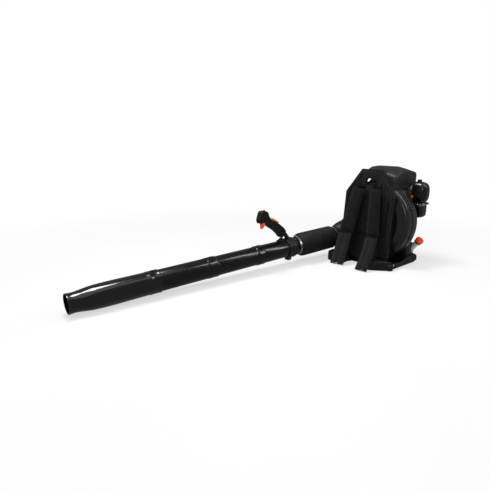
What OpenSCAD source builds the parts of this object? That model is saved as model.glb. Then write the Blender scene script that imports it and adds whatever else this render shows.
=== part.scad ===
// Backpack leaf blower: petrol engine, centrifugal fan and a jointed blow tube.
// Millimetres. The origin is on the floor, under the fan axis and the middle of the
// fan housing. +Z is up, -Y is the side with the shoulder straps and +X is the
// wearer's left, where the fuel filler and the air cleaner are.

/* [Back frame] */
// Width of the back plate
plate_w = 271; // [255:1:285]
// Height of the top edge of the back plate
plate_h = 463; // [455:1:468]
// Angle that the back plate leans back, in degrees
plate_lean = 5.3; // [4.5:0.1:6]
// Where the front of the back plate would meet the floor
plate_y = -87; // [-92:1:-85]
// Width of the base over its two side beams
base_w = 344; // [336:2:352]
// Height of the side beams and feet
base_h = 45; // [40:1:50]
// Front end of the two feet
base_front = -136; // [-146:1:-126]
// Rear end of the base
base_rear = 139; // [139:1:150]

/* [Fan] */
// Height of the fan and crank axis
fan_z = 221; // [219:1:224]
// Outer radius where the scroll starts
scroll_r = 158; // [154:1:160]
// How much the scroll's radius grows
scroll_growth = 50; // [46:1:52]
// Front face of the fan housing
volute_front_y = -42; // [-44:1:-40]
// Rear face of the fan housing
volute_rear_y = 58; // [56:1:60]
// Outer radius of the impeller
impeller_r = 138; // [125:1:142]
// Number of impeller blades
blade_count = 16; // [10:1:20]

/* [Engine] */
// Radius of the cylinder bore
bore_r = 22; // [20:0.5:23]
// Crank throw, half of the stroke
throw = 17; // [15:0.5:18]
// Middle of the cylinder, along the crank axis
cylinder_y = 100; // [98:1:102]
// Radius of the crankshaft's main journals
journal_r = 8; // [7.5:0.5:8.5]
// Height of the top of the engine cover
cover_top = 474; // [470:1:480]

/* [Blow tube] */
// Height of the tube axis where it leaves the elbow
outlet_z = 102; // [101:1:103]
// How far to the side the tube axis leaves the elbow
outlet_x = -198; // [-202:1:-196]
// Angle that the tube slopes down, in degrees
tube_down = 2.32; // [2.2:0.02:2.34]
// Angle that the tube spreads outward, in degrees
tube_out = 4.5; // [3.5:0.1:5]
// Outer radius of the swivel tube and the middle tube
tube_r = 42.5; // [42:0.1:43]
// Outer radius of the front tube
front_tube_r = 44; // [43.8:0.1:44.5]
// Outer radius of the bellows ribs
bellows_r = 58; // [55:1:60]
// Length from the elbow to the mouth of the nozzle
tube_length = 1362; // [1350:2:1370]
// Inner radius of the nozzle's mouth
mouth_r = 35; // [33:0.5:36]

/* [Straps] */
// Width of the padded shoulder straps
strap_w = 76; // [70:1:80]
// Thickness of the padding
strap_t = 16; // [12:1:18]

/* [Hidden] */
$fn = 64;

gap = 0.3;
wall = 3;
plate_t = 6;
deck_t = 8;
beam_w = 110;
side_wall_t = 14;
right_hand = -1;
left_hand = 1;

// Middle of each shoulder strap at its hook and at its lower end
strap_x_right = -48;
strap_x_left = 40;
strap_low_x_right = -84;
strap_low_x_left = 64;

// Fan housing split and scroll outlet
split_y = (volute_front_y + volute_rear_y) / 2;
outlet_face_x = -160;
outlet_floor_z = 24;
outlet_roof_z = 196;
rim_bevel = 14;

// Crank train along +Y
journal_gap = 0.05;
rod_length = 75;
pin_r = 7;
pin_z = fan_z + throw + rod_length;
piston_top = pin_z + 22;
crankcase_y0 = 64;
crankcase_y1 = 2 * cylinder_y - crankcase_y0;
flywheel_y = crankcase_y1 + 5;
flywheel_t = 20;
starter_y = flywheel_y + flywheel_t + 2;
starter_rear_y = 192;
pulley_r = 32;
rope_z = fan_z + pulley_r;

// Places along the tube axis, from the elbow
pivot_s = 118;
bellows_end_s = 278;
swivel_end_s = 524;
middle_s = 490;
middle_end_s = 786;
front_s = 746;
front_end_s = 1052;
nozzle_s = 1012;
tube_wall = 2.5;
lug_s = 14;
handle_x = -224;
grip_half = 13;

// Choke pivot and primer
choke_x = 141.2;
choke_y = 73.5;
choke_z = 322;
primer_z = 312;

// Fuel filler neck
neck_x = 150;
neck_y = 112;
neck_z = 74;
neck_angle = 40;
neck_length = 60;
neck_r = 13;

function unit(v) = v / norm(v);

// Arc that rounds corner b, between its neighbours a and c
function fillet(a, b, c, r, n) =
    let (u = unit(a - b), v = unit(c - b), half = acos(u * v) / 2)
    let (centre = b + unit(u + v) * r / sin(half))
    let (p = b + u * r / tan(half), q = b + v * r / tan(half))
    [for (i = [0 : n]) centre + unit(p + (q - p) * i / n - centre) * r];

// Outline with every corner rounded, by one radius or by a list of radii
function rounded(points, r, n = 6) =
    let (last = len(points))
    [for (i = [0 : last - 1])
        each fillet(points[(i + last - 1) % last], points[i], points[(i + 1) % last],
            is_list(r) ? r[i] : r, n)];

// Rectangle from corner a to corner b
function rect(a, b) = [[a.x, a.y], [b.x, a.y], [b.x, b.y], [a.x, b.y]];

// Prisms whose outlines lie across the X, Y or Z axis
module prism_x(points, x0, x1) {
    translate([x0, 0, 0]) rotate([90, 0, 90]) linear_extrude(x1 - x0) polygon(points);
}

module prism_y(points, y0, y1) {
    translate([0, y1, 0]) rotate([90, 0, 0]) linear_extrude(y1 - y0) polygon(points);
}

module prism_z(points, z0, z1) {
    translate([0, 0, z0]) linear_extrude(z1 - z0) polygon(points);
}

// Box from corner a to corner b
module block(a, b) {
    translate(a) cube(b - a);
}

// Box whose twelve edges are rounded
module soft_block(a, b, r) {
    intersection() {
        prism_x(rounded(rect([a.y, a.z], [b.y, b.z]), r), a.x, b.x);
        prism_y(rounded(rect([a.x, a.z], [b.x, b.z]), r), a.y, b.y);
        prism_z(rounded(rect([a.x, a.y], [b.x, b.y]), r), a.z, b.z);
    }
}

// Cylinder that runs along +Y or +X from a point
module rod_y(p, r, h) {
    translate(p) rotate([-90, 0, 0]) cylinder(r = r, h = h);
}

module rod_x(p, r, h) {
    translate(p) rotate([0, 90, 0]) cylinder(r = r, h = h);
}

module ring_y(p, outer, inner, h) {
    difference() {
        rod_y(p, outer, h);
        rod_y(p - [0, 1, 0], inner, h + 2);
    }
}

// Direction of a route at its point i
function heading(route, i) =
    unit(route[min(i + 1, len(route) - 1)] - route[max(i - 1, 0)]);

// Round tube swept along a route's points
module swept_tube(route, r, sides) {
    rings = len(route);
    points = [for (i = [0 : rings - 1])
        let (t = heading(route, i), u = unit(cross(t, [1, 0.4, 0])), v = cross(t, u))
        for (j = [0 : sides - 1])
            route[i] + r * (cos(360 * j / sides) * u + sin(360 * j / sides) * v)];
    walls = [for (i = [0 : rings - 2], j = [0 : sides - 1])
        let (k = (j + 1) % sides, a = i * sides, b = (i + 1) * sides)
        [a + j, b + j, b + k, a + k]];
    ends = [[for (j = [0 : sides - 1]) j],
        [for (j = [sides - 1 : -1 : 0]) (rings - 1) * sides + j]];
    polyhedron(points, concat(walls, ends));
}

// Frame of the back plate: local Y is 0 on its front face
module on_plate() {
    translate([0, plate_y, 0]) rotate([-plate_lean, 0, 0]) children();
}

// Frame of the blow tube: local +Z runs from the elbow towards the nozzle
module on_tube(s = 0) {
    translate([outlet_x, -60, outlet_z]) rotate([90 + tube_down, 0, -tube_out])
        translate([0, 0, s]) children();
}

// ---- Back frame ----

function plate_outline() =
    let (side = plate_w / 2, shoulder = plate_h - 114)
    rounded([[-side, 30], [side - 6, 30], [side, 180], [side, shoulder], [57, plate_h],
        [-57, plate_h], [-side, shoulder]], [14, 14, 40, 16, 10, 10, 16]);

module carry_hole() {
    prism_y(rounded([[-30, 394], [34, 394], [28, 418], [-24, 418]], 8), -10, 40);
}

module back_plate() {
    color("#17181a") on_plate() difference() {
        prism_y(plate_outline(), 0, plate_t);
        carry_hole();
        for (side = [right_hand, left_hand])
            rod_y([side * 100, -1, 120], 4.2, 10);
    }
}

module beam(side) {
    inner = base_w / 2 - beam_w;
    outer = base_w / 2;
    foot_back = -92;
    corner_cut = side == left_hand ? 1 : 0;
    prism_z(rounded([[side * inner, foot_back], [side * inner, base_front - 18],
        [side * (inner + 26), base_front - 25],
        [side * (outer - 22 - 28 * corner_cut), base_front - 25 + 25 * corner_cut],
        [side * (outer - 5 - 15 * corner_cut), base_front + 2 + 24 * corner_cut],
        [side * outer, foot_back]],
        [6, 10, 14, 20, 20, 4]), 0, base_h);
    prism_z([[side * inner, foot_back - 4], [side * (outer - 2), foot_back - 4],
        [side * (outer - 2), foot_back + 14], [side * inner, foot_back + 14]], 0, deck_t);
    prism_x(rounded([[foot_back - 20, 0], [base_rear, 0], [base_rear, base_h],
        [60, base_h], [0, base_h - 16], [foot_back - 20, base_h - 12]], 5),
        side * outer - (side + 1) / 2 * side_wall_t,
        side * outer - (side + 1) / 2 * side_wall_t + side_wall_t);
}

module base_tray() {
    plate_foot_y = -96;
    deck_half = base_w / 2 - side_wall_t + 1;
    color("#141517") {
        difference() {
            beam(right_hand);
            block([right_hand * base_w / 2 - 4, -52, 21], [outlet_face_x + 4, 62, base_h + 5]);
        }
        beam(left_hand);
        block([-deck_half, plate_foot_y + 16, 0], [deck_half, base_rear, deck_t]);
        block([-deck_half, base_rear - 6, 0], [deck_half, base_rear, base_h]);
        block([-deck_half, plate_foot_y + 22, 0], [deck_half, plate_foot_y + 32, 28]);
    }
}

module back_pad() {
    color("#1c1d1f") on_plate() difference() {
        prism_y(rounded([[-112, 150], [112, 150], [112, 326], [62, 367], [-62, 367],
            [-112, 326]], 18), -9, -gap);
        for (side = [right_hand, left_hand])
            rod_y([side * 100, -12, 120], 6, 16);
    }
}

module rubber_mounts() {
    color("#101010")
        for (side = [right_hand, left_hand])
            for (z = [130, 296]) {
                plate_back = plate_y + plate_t + tan(plate_lean) * (z + 14) + 1.5;
                rod_y([side * 92, plate_back, z], 11, volute_front_y - gap - plate_back);
            }
}

// ---- Straps ----

// Padded strap between two heights, hanging in front of the plate
module strap_run(x_top, x_low, w_top, w_low, top, low) {
    hull() {
        translate([x_top - w_top / 2, top.x, top.y]) cube([w_top, strap_t, 2]);
        translate([x_low - w_low / 2, low.x, low.y]) cube([w_low, strap_t, 2]);
    }
}

// The upper pads narrow towards the hooks
module shoulder_pad(x_top, x_low, w) {
    strap_run(x_top, x_low, w * 0.83, w, [-84, 368], [-116, 152]);
}

module lower_strap(x_top, x_low, w, low_y) {
    strap_run(x_top, x_low, w, w, [-134, 149], [low_y, 4]);
}

module shoulder_pad_right() {
    color("#202224") shoulder_pad(strap_x_right, strap_low_x_right, strap_w);
}

module shoulder_pad_left() {
    color("#202224") shoulder_pad(strap_x_left, strap_low_x_left, strap_w - 10);
}

module lower_strap_right() {
    color("#2a2c2f") lower_strap(strap_low_x_right + 6, -68, strap_w, -204);
}

module lower_strap_left() {
    color("#2a2c2f") lower_strap(strap_low_x_left + 8, 73, strap_w - 12, -210);
}

// Hook plates at the top of the straps and slide buckles at their lower ends
module strap_hardware() {
    color("#8d9094") {
        on_plate() for (x = [strap_x_right, strap_x_left]) {
            block([x - 20, -7, 388], [x + 20, -gap, 392]);
            block([x - 20, -7, 372], [x - 16, -gap, 388.5]);
            block([x + 16, -7, 372], [x + 20, -gap, 388.5]);
        }
        for (x = [strap_low_x_right + 3, strap_low_x_left + 5])
            difference() {
                block([x - 24, -112, 139], [x + 24, -109, 151]);
                block([x - 20, -113, 142], [x + 20, -108, 148]);
            }
    }
}

// ---- Fan housing ----

// Radius of the scroll at an angle from +X; it grows from -X over the top
function scroll_radius(angle) = scroll_r + scroll_growth * sin((180 - angle) / 3);

// Closed outline of the scroll and its outlet, moved inward by an inset
function scroll_outline(inset) = concat(
    [for (angle = [180 : -6 : -90])
        let (r = scroll_radius(angle) - inset) [r * cos(angle), fan_z + r * sin(angle)]],
    [[outlet_face_x, outlet_floor_z + inset], [outlet_face_x, outlet_roof_z - inset]]);

module scroll_slab(inset, y0, y1) {
    prism_y(scroll_outline(inset), y0, y1);
}

// Lobes for the screws that hold the two halves together
screw_angles = [-60, -20, 20, 60, 100, 140];
module screw_lobes(y0, y1) {
    for (angle = screw_angles) {
        r = scroll_radius(angle) + 1.2;
        rod_y([r * cos(angle), y0, fan_z + r * sin(angle)], 7, y1 - y0);
    }
}

module screw_holes(y0, y1, r) {
    for (angle = screw_angles) {
        reach = scroll_radius(angle) + 3.8;
        rod_y([reach * cos(angle), y0, fan_z + reach * sin(angle)], r, y1 - y0);
    }
}

module volute_front() {
    eye_r = 92;
    color("#1b1d1f") difference() {
        union() {
            scroll_slab(rim_bevel, volute_front_y, split_y);
            scroll_slab(0, volute_front_y + rim_bevel, split_y);
            screw_lobes(split_y - 12, split_y);
        }
        difference() {
            union() {
                scroll_slab(rim_bevel + wall, volute_front_y + wall, split_y + 1);
                scroll_slab(wall, volute_front_y + rim_bevel + wall, split_y + 1);
            }
            screw_lobes(split_y - 13, split_y + 2);
        }
        rod_y([0, volute_front_y - 1, fan_z], eye_r, wall + 3);
        screw_holes(split_y - 13, split_y + 1, 2.4);
    }
}

module volute_rear() {
    color("#1b1d1f") difference() {
        union() {
            scroll_slab(rim_bevel, split_y, volute_rear_y);
            scroll_slab(0, split_y, volute_rear_y - rim_bevel);
            screw_lobes(split_y, split_y + 12);
        }
        difference() {
            union() {
                scroll_slab(rim_bevel + wall, split_y - 1, volute_rear_y - wall);
                scroll_slab(wall, split_y - 1, volute_rear_y - rim_bevel - wall);
            }
            screw_lobes(split_y - 2, split_y + 13);
        }
        rod_y([0, volute_rear_y - wall - 1, fan_z], 24, wall + 3);
        screw_holes(split_y - 1, split_y + 13, 2.4);
    }
}

module intake_grille() {
    grille_r = 91.5;
    color("#0e0f10") translate([0, volute_front_y, fan_z]) rotate([-90, 0, 0]) {
        for (r = [18, 42, 66])
            difference() {
                cylinder(r = r + 3, h = wall);
                translate([0, 0, -1]) cylinder(r = r, h = wall + 2);
            }
        difference() {
            cylinder(r = grille_r, h = wall);
            translate([0, 0, -1]) cylinder(r = grille_r - 4, h = wall + 2);
        }
        difference() {
            for (turn = [0 : 30 : 150])
                rotate([0, 0, turn]) translate([-grille_r + 2, -2, 0.2])
                    cube([2 * grille_r - 4, 4, wall - 0.4]);
            translate([0, 0, -1]) cylinder(r = 19, h = wall + 2);
        }
    }
}

// Threaded fasteners: one screw for each lobe of the fan housing
module housing_screws() {
    color("#8d9094")
        for (angle = screw_angles) {
            reach = scroll_radius(angle) + 3.8;
            translate([reach * cos(angle), split_y, fan_z + reach * sin(angle)])
                rotate([-90, 0, 0]) {
                    translate([0, 0, -12]) cylinder(r = 2.1, h = 24);
                    translate([0, 0, 12.2]) cylinder(r = 3.4, h = 4, $fn = 6);
                    translate([0, 0, 11.9]) cylinder(r = 2.1, h = 1);
                }
        }
}

module impeller() {
    back_y = volute_rear_y - wall - 5;
    hub_r = 20;
    blade_w = 60;
    eye = 84;
    color("#2a2c2e") difference() {
        union() {
            rod_y([0, back_y - 3, fan_z], impeller_r, 3);
            rod_y([0, back_y - 30, fan_z], hub_r, 30);
            translate([0, back_y - 2, fan_z]) rotate([90, 0, 0])
                for (turn = [0 : 360 / blade_count : 359])
                    rotate([0, 0, turn]) translate([eye * 0.5, 0, 0]) rotate([0, 0, 28])
                        translate([0, -1.25, 0]) cube([impeller_r * 0.66, 2.5, blade_w]);
        }
        rod_y([0, back_y - 40, fan_z], journal_r + 0.02, 60);
        ring_y([0, back_y - 80, fan_z], impeller_r + 60, impeller_r, 90);
    }
    color("silver") difference() {
        rod_y([0, back_y - 38, fan_z], 12, 8);
        rod_y([0, back_y - 39, fan_z], journal_r + 0.02, 10);
    }
}

module outlet_elbow() {
    bend_r = 60;
    outer_r = 44;
    inner_r = 41;
    spigot_r = 40;
    bend_centre = [outlet_x + bend_r, -60, outlet_z];
    mouth_y0 = volute_front_y + 8;
    mouth_y1 = volute_rear_y - 8;
    color("#191b1d") difference() {
        union() {
            difference() {
                union() {
                    hull() {
                        prism_x(rounded(rect([mouth_y0, outlet_floor_z + 4],
                            [mouth_y1, outlet_roof_z - 2]), 14), outlet_face_x - 7, outlet_face_x - gap);
                        rod_y([-222, -24, 134], 14, 30);
                        translate(bend_centre) rotate([0, 0, -45]) translate([-bend_r, 0, 0])
                            rotate([90, 0, 0]) cylinder(r = outer_r, h = 4, $fn = 32);
                    }
                    translate(bend_centre) rotate([0, 0, 134]) rotate_extrude(angle = 46)
                        translate([bend_r, 0]) circle(r = outer_r + 0.6);
                    on_tube(-3) cylinder(r = outer_r + 2, h = 5);
                }
                on_tube(1.5) cylinder(r = 70, h = 60);
            }
            on_tube(-1) cylinder(r = spigot_r, h = 19);
        }
        block([outlet_face_x - gap, volute_front_y - gap, 0],
            [outlet_face_x + bend_r, volute_rear_y, 260]);
        hull() {
            prism_x(rounded(rect([mouth_y0 + wall, outlet_floor_z + 7],
                [mouth_y1 - wall, outlet_roof_z - 6]), 12), outlet_face_x - 8, outlet_face_x);
            translate(bend_centre) rotate([0, 0, -45]) translate([-bend_r, 1, 0])
                rotate([90, 0, 0]) cylinder(r = inner_r, h = 6, $fn = 32);
        }
        translate(bend_centre) rotate([0, 0, 133]) rotate_extrude(angle = 48)
            translate([bend_r, 0]) circle(r = inner_r - 2.5);
        on_tube(-6) cylinder(r = inner_r - 3.5, h = 30);
    }
}

// ---- Engine ----

module crankcase_half(y0, y1, bearing_y) {
    case_r = 58;
    difference() {
        union() {
            rod_y([0, y0, fan_z], case_r, y1 - y0);
            block([-34, y0, fan_z + 30], [34, y1, fan_z + 62]);
        }
        rod_y([0, cylinder_y - 16, fan_z], 42, 32);
        rod_y([0, y0 - 1, fan_z], journal_r + 1, y1 - y0 + 2);
        rod_y([0, bearing_y, fan_z], 17.5, 10);
        translate([0, cylinder_y, fan_z]) cylinder(r = bore_r + 4, h = 70);
    }
}

module crankcase_front() {
    color("#9a9c9e") crankcase_half(crankcase_y0, cylinder_y, cylinder_y - 28);
}

module crankcase_rear() {
    color("#9a9c9e") crankcase_half(cylinder_y, crankcase_y1, cylinder_y + 18);
}

module main_bearings() {
    color("silver")
        for (y = [cylinder_y - 28, cylinder_y + 18])
            ring_y([0, y, fan_z], 17.45, journal_r + journal_gap, 10);
}

module crankshaft() {
    web_r = 32;
    front_tip = 12;
    color("silver") {
        rod_y([0, front_tip, fan_z], journal_r, cylinder_y - 14 - front_tip);
        rod_y([0, cylinder_y - 14, fan_z], web_r, 8);
        rod_y([0, cylinder_y - 6.5, fan_z + throw], pin_r, 13);
        rod_y([0, cylinder_y + 6, fan_z], web_r, 8);
        rod_y([0, cylinder_y + 14, fan_z], journal_r, flywheel_y + flywheel_t - cylinder_y - 14);
    }
}

module flywheel() {
    color("#a5a7a9") difference() {
        union() {
            rod_y([0, flywheel_y, fan_z], 52, flywheel_t - 8);
            for (turn = [0 : 30 : 330])
                translate([0, flywheel_y + flywheel_t - 9, fan_z]) rotate([0, turn, 0])
                    block([26, 0, -1.5], [50, 9, 1.5]);
        }
        rod_y([0, flywheel_y - 1, fan_z], journal_r + 0.02, flywheel_t + 2);
    }
}

module engine_cylinder() {
    base = fan_z + 62 + gap;
    fin_count = 8;
    head = piston_top + 18;
    color("#8e9092") difference() {
        union() {
            translate([0, cylinder_y, base]) cylinder(r = bore_r + 5, h = head - base);
            block([-33, cylinder_y - 33, base], [33, cylinder_y + 33, base + 6]);
            for (i = [0 : fin_count - 1])
                prism_z(rounded(rect([-44, cylinder_y - 33], [44, cylinder_y + 33]), 12),
                    base + 14 + i * 7, base + 16.4 + i * 7);
        }
        translate([0, cylinder_y, base - 1]) cylinder(r = bore_r, h = piston_top + 4 - base);
        translate([0, cylinder_y, piston_top]) cylinder(r = 5, h = 40);
    }
}

module piston() {
    color("#c8c9cb") difference() {
        translate([0, cylinder_y, pin_z - 14])
            cylinder(r = bore_r - 0.05, h = piston_top - pin_z + 14);
        translate([0, cylinder_y, pin_z - 15]) cylinder(r = bore_r - 4, h = 32);
        rod_y([0, cylinder_y - 40, pin_z], 5.03, 80);
    }
}

// Rod with its wrist pin; the big end stops short of the circle the crank pin sweeps
module connecting_rod() {
    color("#7d7f82") {
        rod_y([0, cylinder_y - 20, pin_z], 5, 40);
        difference() {
            union() {
                rod_y([0, cylinder_y - 5, pin_z], 9, 10);
                block([-4, cylinder_y - 3, fan_z + throw], [4, cylinder_y + 3, pin_z]);
                rod_y([0, cylinder_y - 5, fan_z + throw], 11, 10);
            }
            rod_y([0, cylinder_y - 6, fan_z], throw + pin_r + 0.6, 12);
            rod_y([0, cylinder_y - 21, pin_z], 5.03, 42);
        }
    }
}

module spark_plug() {
    seat = piston_top + 18;
    color("ivory") translate([0, cylinder_y, 0]) {
        translate([0, 0, seat - 14]) cylinder(r = 4.95, h = 14);
        translate([0, 0, seat + gap]) cylinder(r = 9, h = 8, $fn = 6);
        translate([0, 0, seat - 1]) cylinder(r = 4.95, h = 4);
        translate([0, 0, seat + 8]) cylinder(r = 5, h = 22);
    }
}

module plug_boot() {
    seat = piston_top + 18;
    color("#111111") translate([0, cylinder_y, seat + 12]) difference() {
        union() {
            cylinder(r = 9, h = 26);
            rod_y([0, 0, 19], 5.5, 40);
        }
        translate([0, 0, -1]) cylinder(r = 5.3, h = 20);
    }
}

module ignition_coil() {
    color("#1a1a1a") {
        block([-20, flywheel_y + 2, fan_z + 54], [20, flywheel_y + 14, fan_z + 60]);
        soft_block([-16, flywheel_y - 2, fan_z + 59], [16, flywheel_y + 18, fan_z + 84], 4);
    }
}

module muffler() {
    color("#6f6a64") {
        difference() {
            soft_block([-142, 72, 292], [-58, 134, 362], 10);
            soft_block([-140, 74, 294], [-60, 132, 360], 8);
            rod_y([-124, 120, 306], 6, 30);
        }
        rod_x([-60, cylinder_y, 318], 15, 15.5);
    }
}

module carb_insulator() {
    color("#26282a") difference() {
        hull() {
            block([45, cylinder_y - 16, 300], [47, cylinder_y + 16, 344]);
            block([94, cylinder_y + 2, 326], [96, cylinder_y + 34, 372]);
        }
        hull() {
            rod_x([44, cylinder_y, 322], 9, 1);
            rod_x([96, cylinder_y + 18, 348], 9, 1);
        }
    }
}

module carburettor() {
    cy = cylinder_y + 18;
    color("silver") difference() {
        union() {
            soft_block([96.3, cy - 20, 328], [138, cy + 20, 370], 4);
            rod_x([104, cy, 371], 12, 26);
            translate([110, cy, 322]) cylinder(r = 14, h = 8);
            translate([127, cy, primer_z - 2]) cylinder(r = 10, h = 18);
        }
        translate([127, cy, primer_z - 3]) cylinder(r = 7.3, h = 11.5);
        rod_x([95, cy, 348], 9, 45);
        rod_y([118, cy - 40, 348], 3.05, 80);
    }
}

module throttle_lever() {
    cy = cylinder_y + 18;
    color("#b0a15a") {
        rod_y([118, cy - 27, 348], 3, 54);
        rod_y([118, cy - 27, 348], 6, 3);
        block([116, cy - 27, 336], [120, cy - 24, 346]);
        block([114, cy - 27, 333], [122, cy - 24, 337]);
    }
}

module choke_lever() {
    color("#f05a00") {
        rod_y([choke_x, choke_y, choke_z], 2, 11);
        rod_y([choke_x, choke_y, choke_z], 6, 4);
        prism_y(rounded([[choke_x - 4, choke_z], [choke_x + 4, choke_z - 2],
            [choke_x + 14, choke_z + 16], [choke_x + 5, choke_z + 20]], 2), choke_y, choke_y + 4);
    }
}

// Rubber bulb, pressed upwards into the carburettor
module primer_bulb() {
    color("#c9c2b0") translate([127, cylinder_y + 18, primer_z]) {
        cylinder(r = 7, h = 4);
        difference() {
            sphere(r = 7);
            translate([-10, -10, 0]) cube(20);
        }
    }
}

module air_cleaner_base() {
    cy = cylinder_y + 18;
    color("#131415") difference() {
        union() {
            block([138.4, cy - 32, 240], [144, cy + 32, 384]);
            block([138.4, choke_y + 4.4, choke_z - 10], [144, cy - 31, choke_z + 10]);
        }
        rod_x([137, cy, 348], 10, 10);
        rod_y([choke_x, choke_y, choke_z], 2.05, 11.5);
    }
}

module air_filter() {
    cy = cylinder_y + 18;
    color("#3a3a34") block([144.3, cy - 26, 312], [166, cy + 26, 376]);
}

// Domed upper part, a waist for the clip and a narrower lower box, seen along Y
function cleaner_outline(d, x0) = rounded([[x0, 232 + d], [194 - d, 232 + d],
    [197 - d, 300], [203 - d, 306], [206 - d, 386], [176, 404 - d], [x0, 398 - d]],
    [1, 22 - d, 3, 5, 26, 30, 1]);

module cleaner_body(d, x0) {
    y0 = cylinder_y - 20 + d;
    y1 = cylinder_y + 50 - d;
    intersection() {
        prism_y(cleaner_outline(d, x0), y0, y1);
        prism_x(rounded(rect([y0, 200], [y1, 404 - d]), 26 - d), x0 - 1, 230);
        prism_z(rounded(rect([100, y0], [206 - d, y1]), 20 - d), 200, 410);
    }
}

module air_cleaner_cover() {
    color("#0c0c0d") difference() {
        union() {
            cleaner_body(0, 144.3);
            translate([158, cylinder_y + 18, 396]) cylinder(r = 7, h = 7);
        }
        cleaner_body(3.5, 143);
    }
}

// Wing knob on the stud on top of the air cleaner
module air_cleaner_knob() {
    color("#101010") translate([158, cylinder_y + 18, 403.3]) {
        cylinder(r = 9, h = 10);
        for (turn = [30 : 60 : 330])
            rotate([0, 0, turn]) translate([8.5, 0, 0]) cylinder(r = 2.5, h = 9);
    }
}

function cover_outline(d) = rounded([[-121 + d, 370], [-121 + d, 392 - d], [-54, cover_top - 4 - d],
    [64, cover_top - 4 - d], [121 - d, 456 - d], [121 - d, 370]],
    [1, 14, 24, 20, 10, 1]);

module engine_cover() {
    front_y = -34;
    rear_y = 162;
    color("#26282b") difference() {
        intersection() {
            prism_y(cover_outline(0), front_y, rear_y);
            prism_x(rounded([[front_y, 370], [front_y, cover_top - 28], [22, cover_top - 2],
                [80, cover_top], [rear_y, cover_top - 18], [rear_y, 370]],
                [2, 12, 40, 60, 20, 2]), -130, 130);
        }
        intersection() {
            prism_y(cover_outline(wall), front_y + wall, rear_y - wall);
            prism_x(rounded([[front_y, 369], [front_y, cover_top - 31], [22, cover_top - 5],
                [80, cover_top - 3], [rear_y, cover_top - 21], [rear_y, 369]],
                [2, 12, 40, 60, 20, 2]), -130, 130);
        }
        block([-117, front_y + 3, 360], [117, rear_y - 3, 373]);
        block([100, cylinder_y - 4, 360], [130, cylinder_y + 40, 385]);
        scroll_slab(-1, front_y - 1, volute_rear_y + 2);
        prism_z([[-130, front_y - 6], [-6, front_y - 6], [-68, 60], [-112, 128], [-130, 146]],
            360, 422);
    }
}

module starter_housing() {
    shell_r = 66;
    color("#1d1f21") difference() {
        union() {
            rod_y([0, starter_y, fan_z], shell_r, starter_rear_y - starter_y);
            block([-shell_r - 4, starter_y + 4, rope_z - 11], [-40, starter_rear_y - 4, rope_z + 11]);
        }
        rod_y([0, starter_y - 1, fan_z], shell_r - 3, starter_rear_y - starter_y - 2);
        rod_x([-shell_r - 6, starter_y + 13, rope_z], 3.5, 40);
        for (turn = [0 : 30 : 330])
            translate([0, starter_rear_y - 5, fan_z]) rotate([0, turn, 0])
                block([36, 0, -4], [56, 8, 4]);
    }
    color("#8d9094") rod_y([0, starter_rear_y - 14, fan_z], 4, 12.5);
}

module starter_pulley() {
    color("#303236") difference() {
        union() {
            rod_y([0, starter_y + 6, fan_z], pulley_r + 5, 3);
            rod_y([0, starter_y + 8, fan_z], pulley_r - 2 - gap, 9);
            rod_y([0, starter_y + 16, fan_z], pulley_r + 5, 3);
        }
        rod_y([0, starter_rear_y - 15, fan_z], 4.05, 30);
        rod_y([0, starter_y, fan_z], 14, 10);
    }
}

module starter_rope() {
    color("#d8d4c8") rod_x([-82, starter_y + 13, rope_z], 2, 80);
}

module starter_grip() {
    color("#0f0f10") translate([-72, starter_y + 13, rope_z]) difference() {
        prism_z(rounded([[-36, -16], [-28, -21], [-22, -9], [-1, -8], [-1, 8], [-22, 9],
            [-28, 21], [-36, 16]], [4, 4, 5, 2, 2, 5, 4, 4]), -9, 9);
        rod_x([-12, 0, 0], 2.4, 20);
    }
}

// ---- Fuel ----

module on_neck(h = 0) {
    translate([neck_x, neck_y, neck_z]) rotate([0, neck_angle, 0])
        translate([0, 0, h]) children();
}

module fuel_tank() {
    color("#dfe3e0") difference() {
        union() {
            soft_block([-148, 66, deck_t + gap], [base_w / 2 - side_wall_t - 1, 131, 104], 12);
            on_neck(-14) cylinder(r = neck_r, h = neck_length + 14);
        }
        soft_block([-146, 68, deck_t + 2.5], [base_w / 2 - side_wall_t - 3, 129, 102], 10);
        on_neck(-20) cylinder(r = neck_r - 2, h = neck_length + 30);
        block([-40, 60, 92], [40, 140, 110]);
    }
    color("#dfe3e0") block([-40, 67, 90], [40, 130, 92]);
}

module fuel_cap() {
    cap_r = 18;
    color("#f05500") on_neck(neck_length - 10) difference() {
        union() {
            translate([0, 0, 2]) cylinder(r = cap_r, h = 18);
            for (turn = [0 : 30 : 330])
                rotate([0, 0, turn]) translate([cap_r - 1, 0, 4])
                    cylinder(r = 2.2, h = 15, $fn = 24);
        }
        translate([0, 0, 1]) cylinder(r = neck_r + gap, h = 9 + gap);
    }
}

// Pickup hose from the top of the tank to the carburettor
fuel_route = [[60, 126, 104], [60, 128, 112], [62, 136, 130], [66, 138, 170], [72, 138, 230],
    [82, 136, 280], [98, 130, 304], [110, 121, 312], [113, 118, 317], [113, 118, 321.7]];
module fuel_line() {
    color("#c9b46a") swept_tube(fuel_route, 3, 8);
}

// ---- Blow tube ----

// Hose clamp: a steel band with its screw housing
module band_clamp(s, r) {
    on_tube(s) {
        difference() {
            cylinder(r = r + 1.2, h = 10);
            translate([0, 0, -1]) cylinder(r = r, h = 12);
        }
        translate([-9, r + 1, 1]) cube([18, 6, 8]);
    }
}

module elbow_clamp() {
    color("silver") band_clamp(4, 43);
}

module bellows_clamp() {
    color("silver") band_clamp(264, 43);
}

// Profile of a bellows half: neck at one end, ribs to the other
function ribs(s0, s1, pitch, low, high) =
    [for (s = [s0 : pitch : s1 - pitch])
        each [[high, s + pitch * 0.3], [high, s + pitch * 0.6], [low, s + pitch * 0.8],
            [low, s + pitch * 0.99]]];

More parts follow.
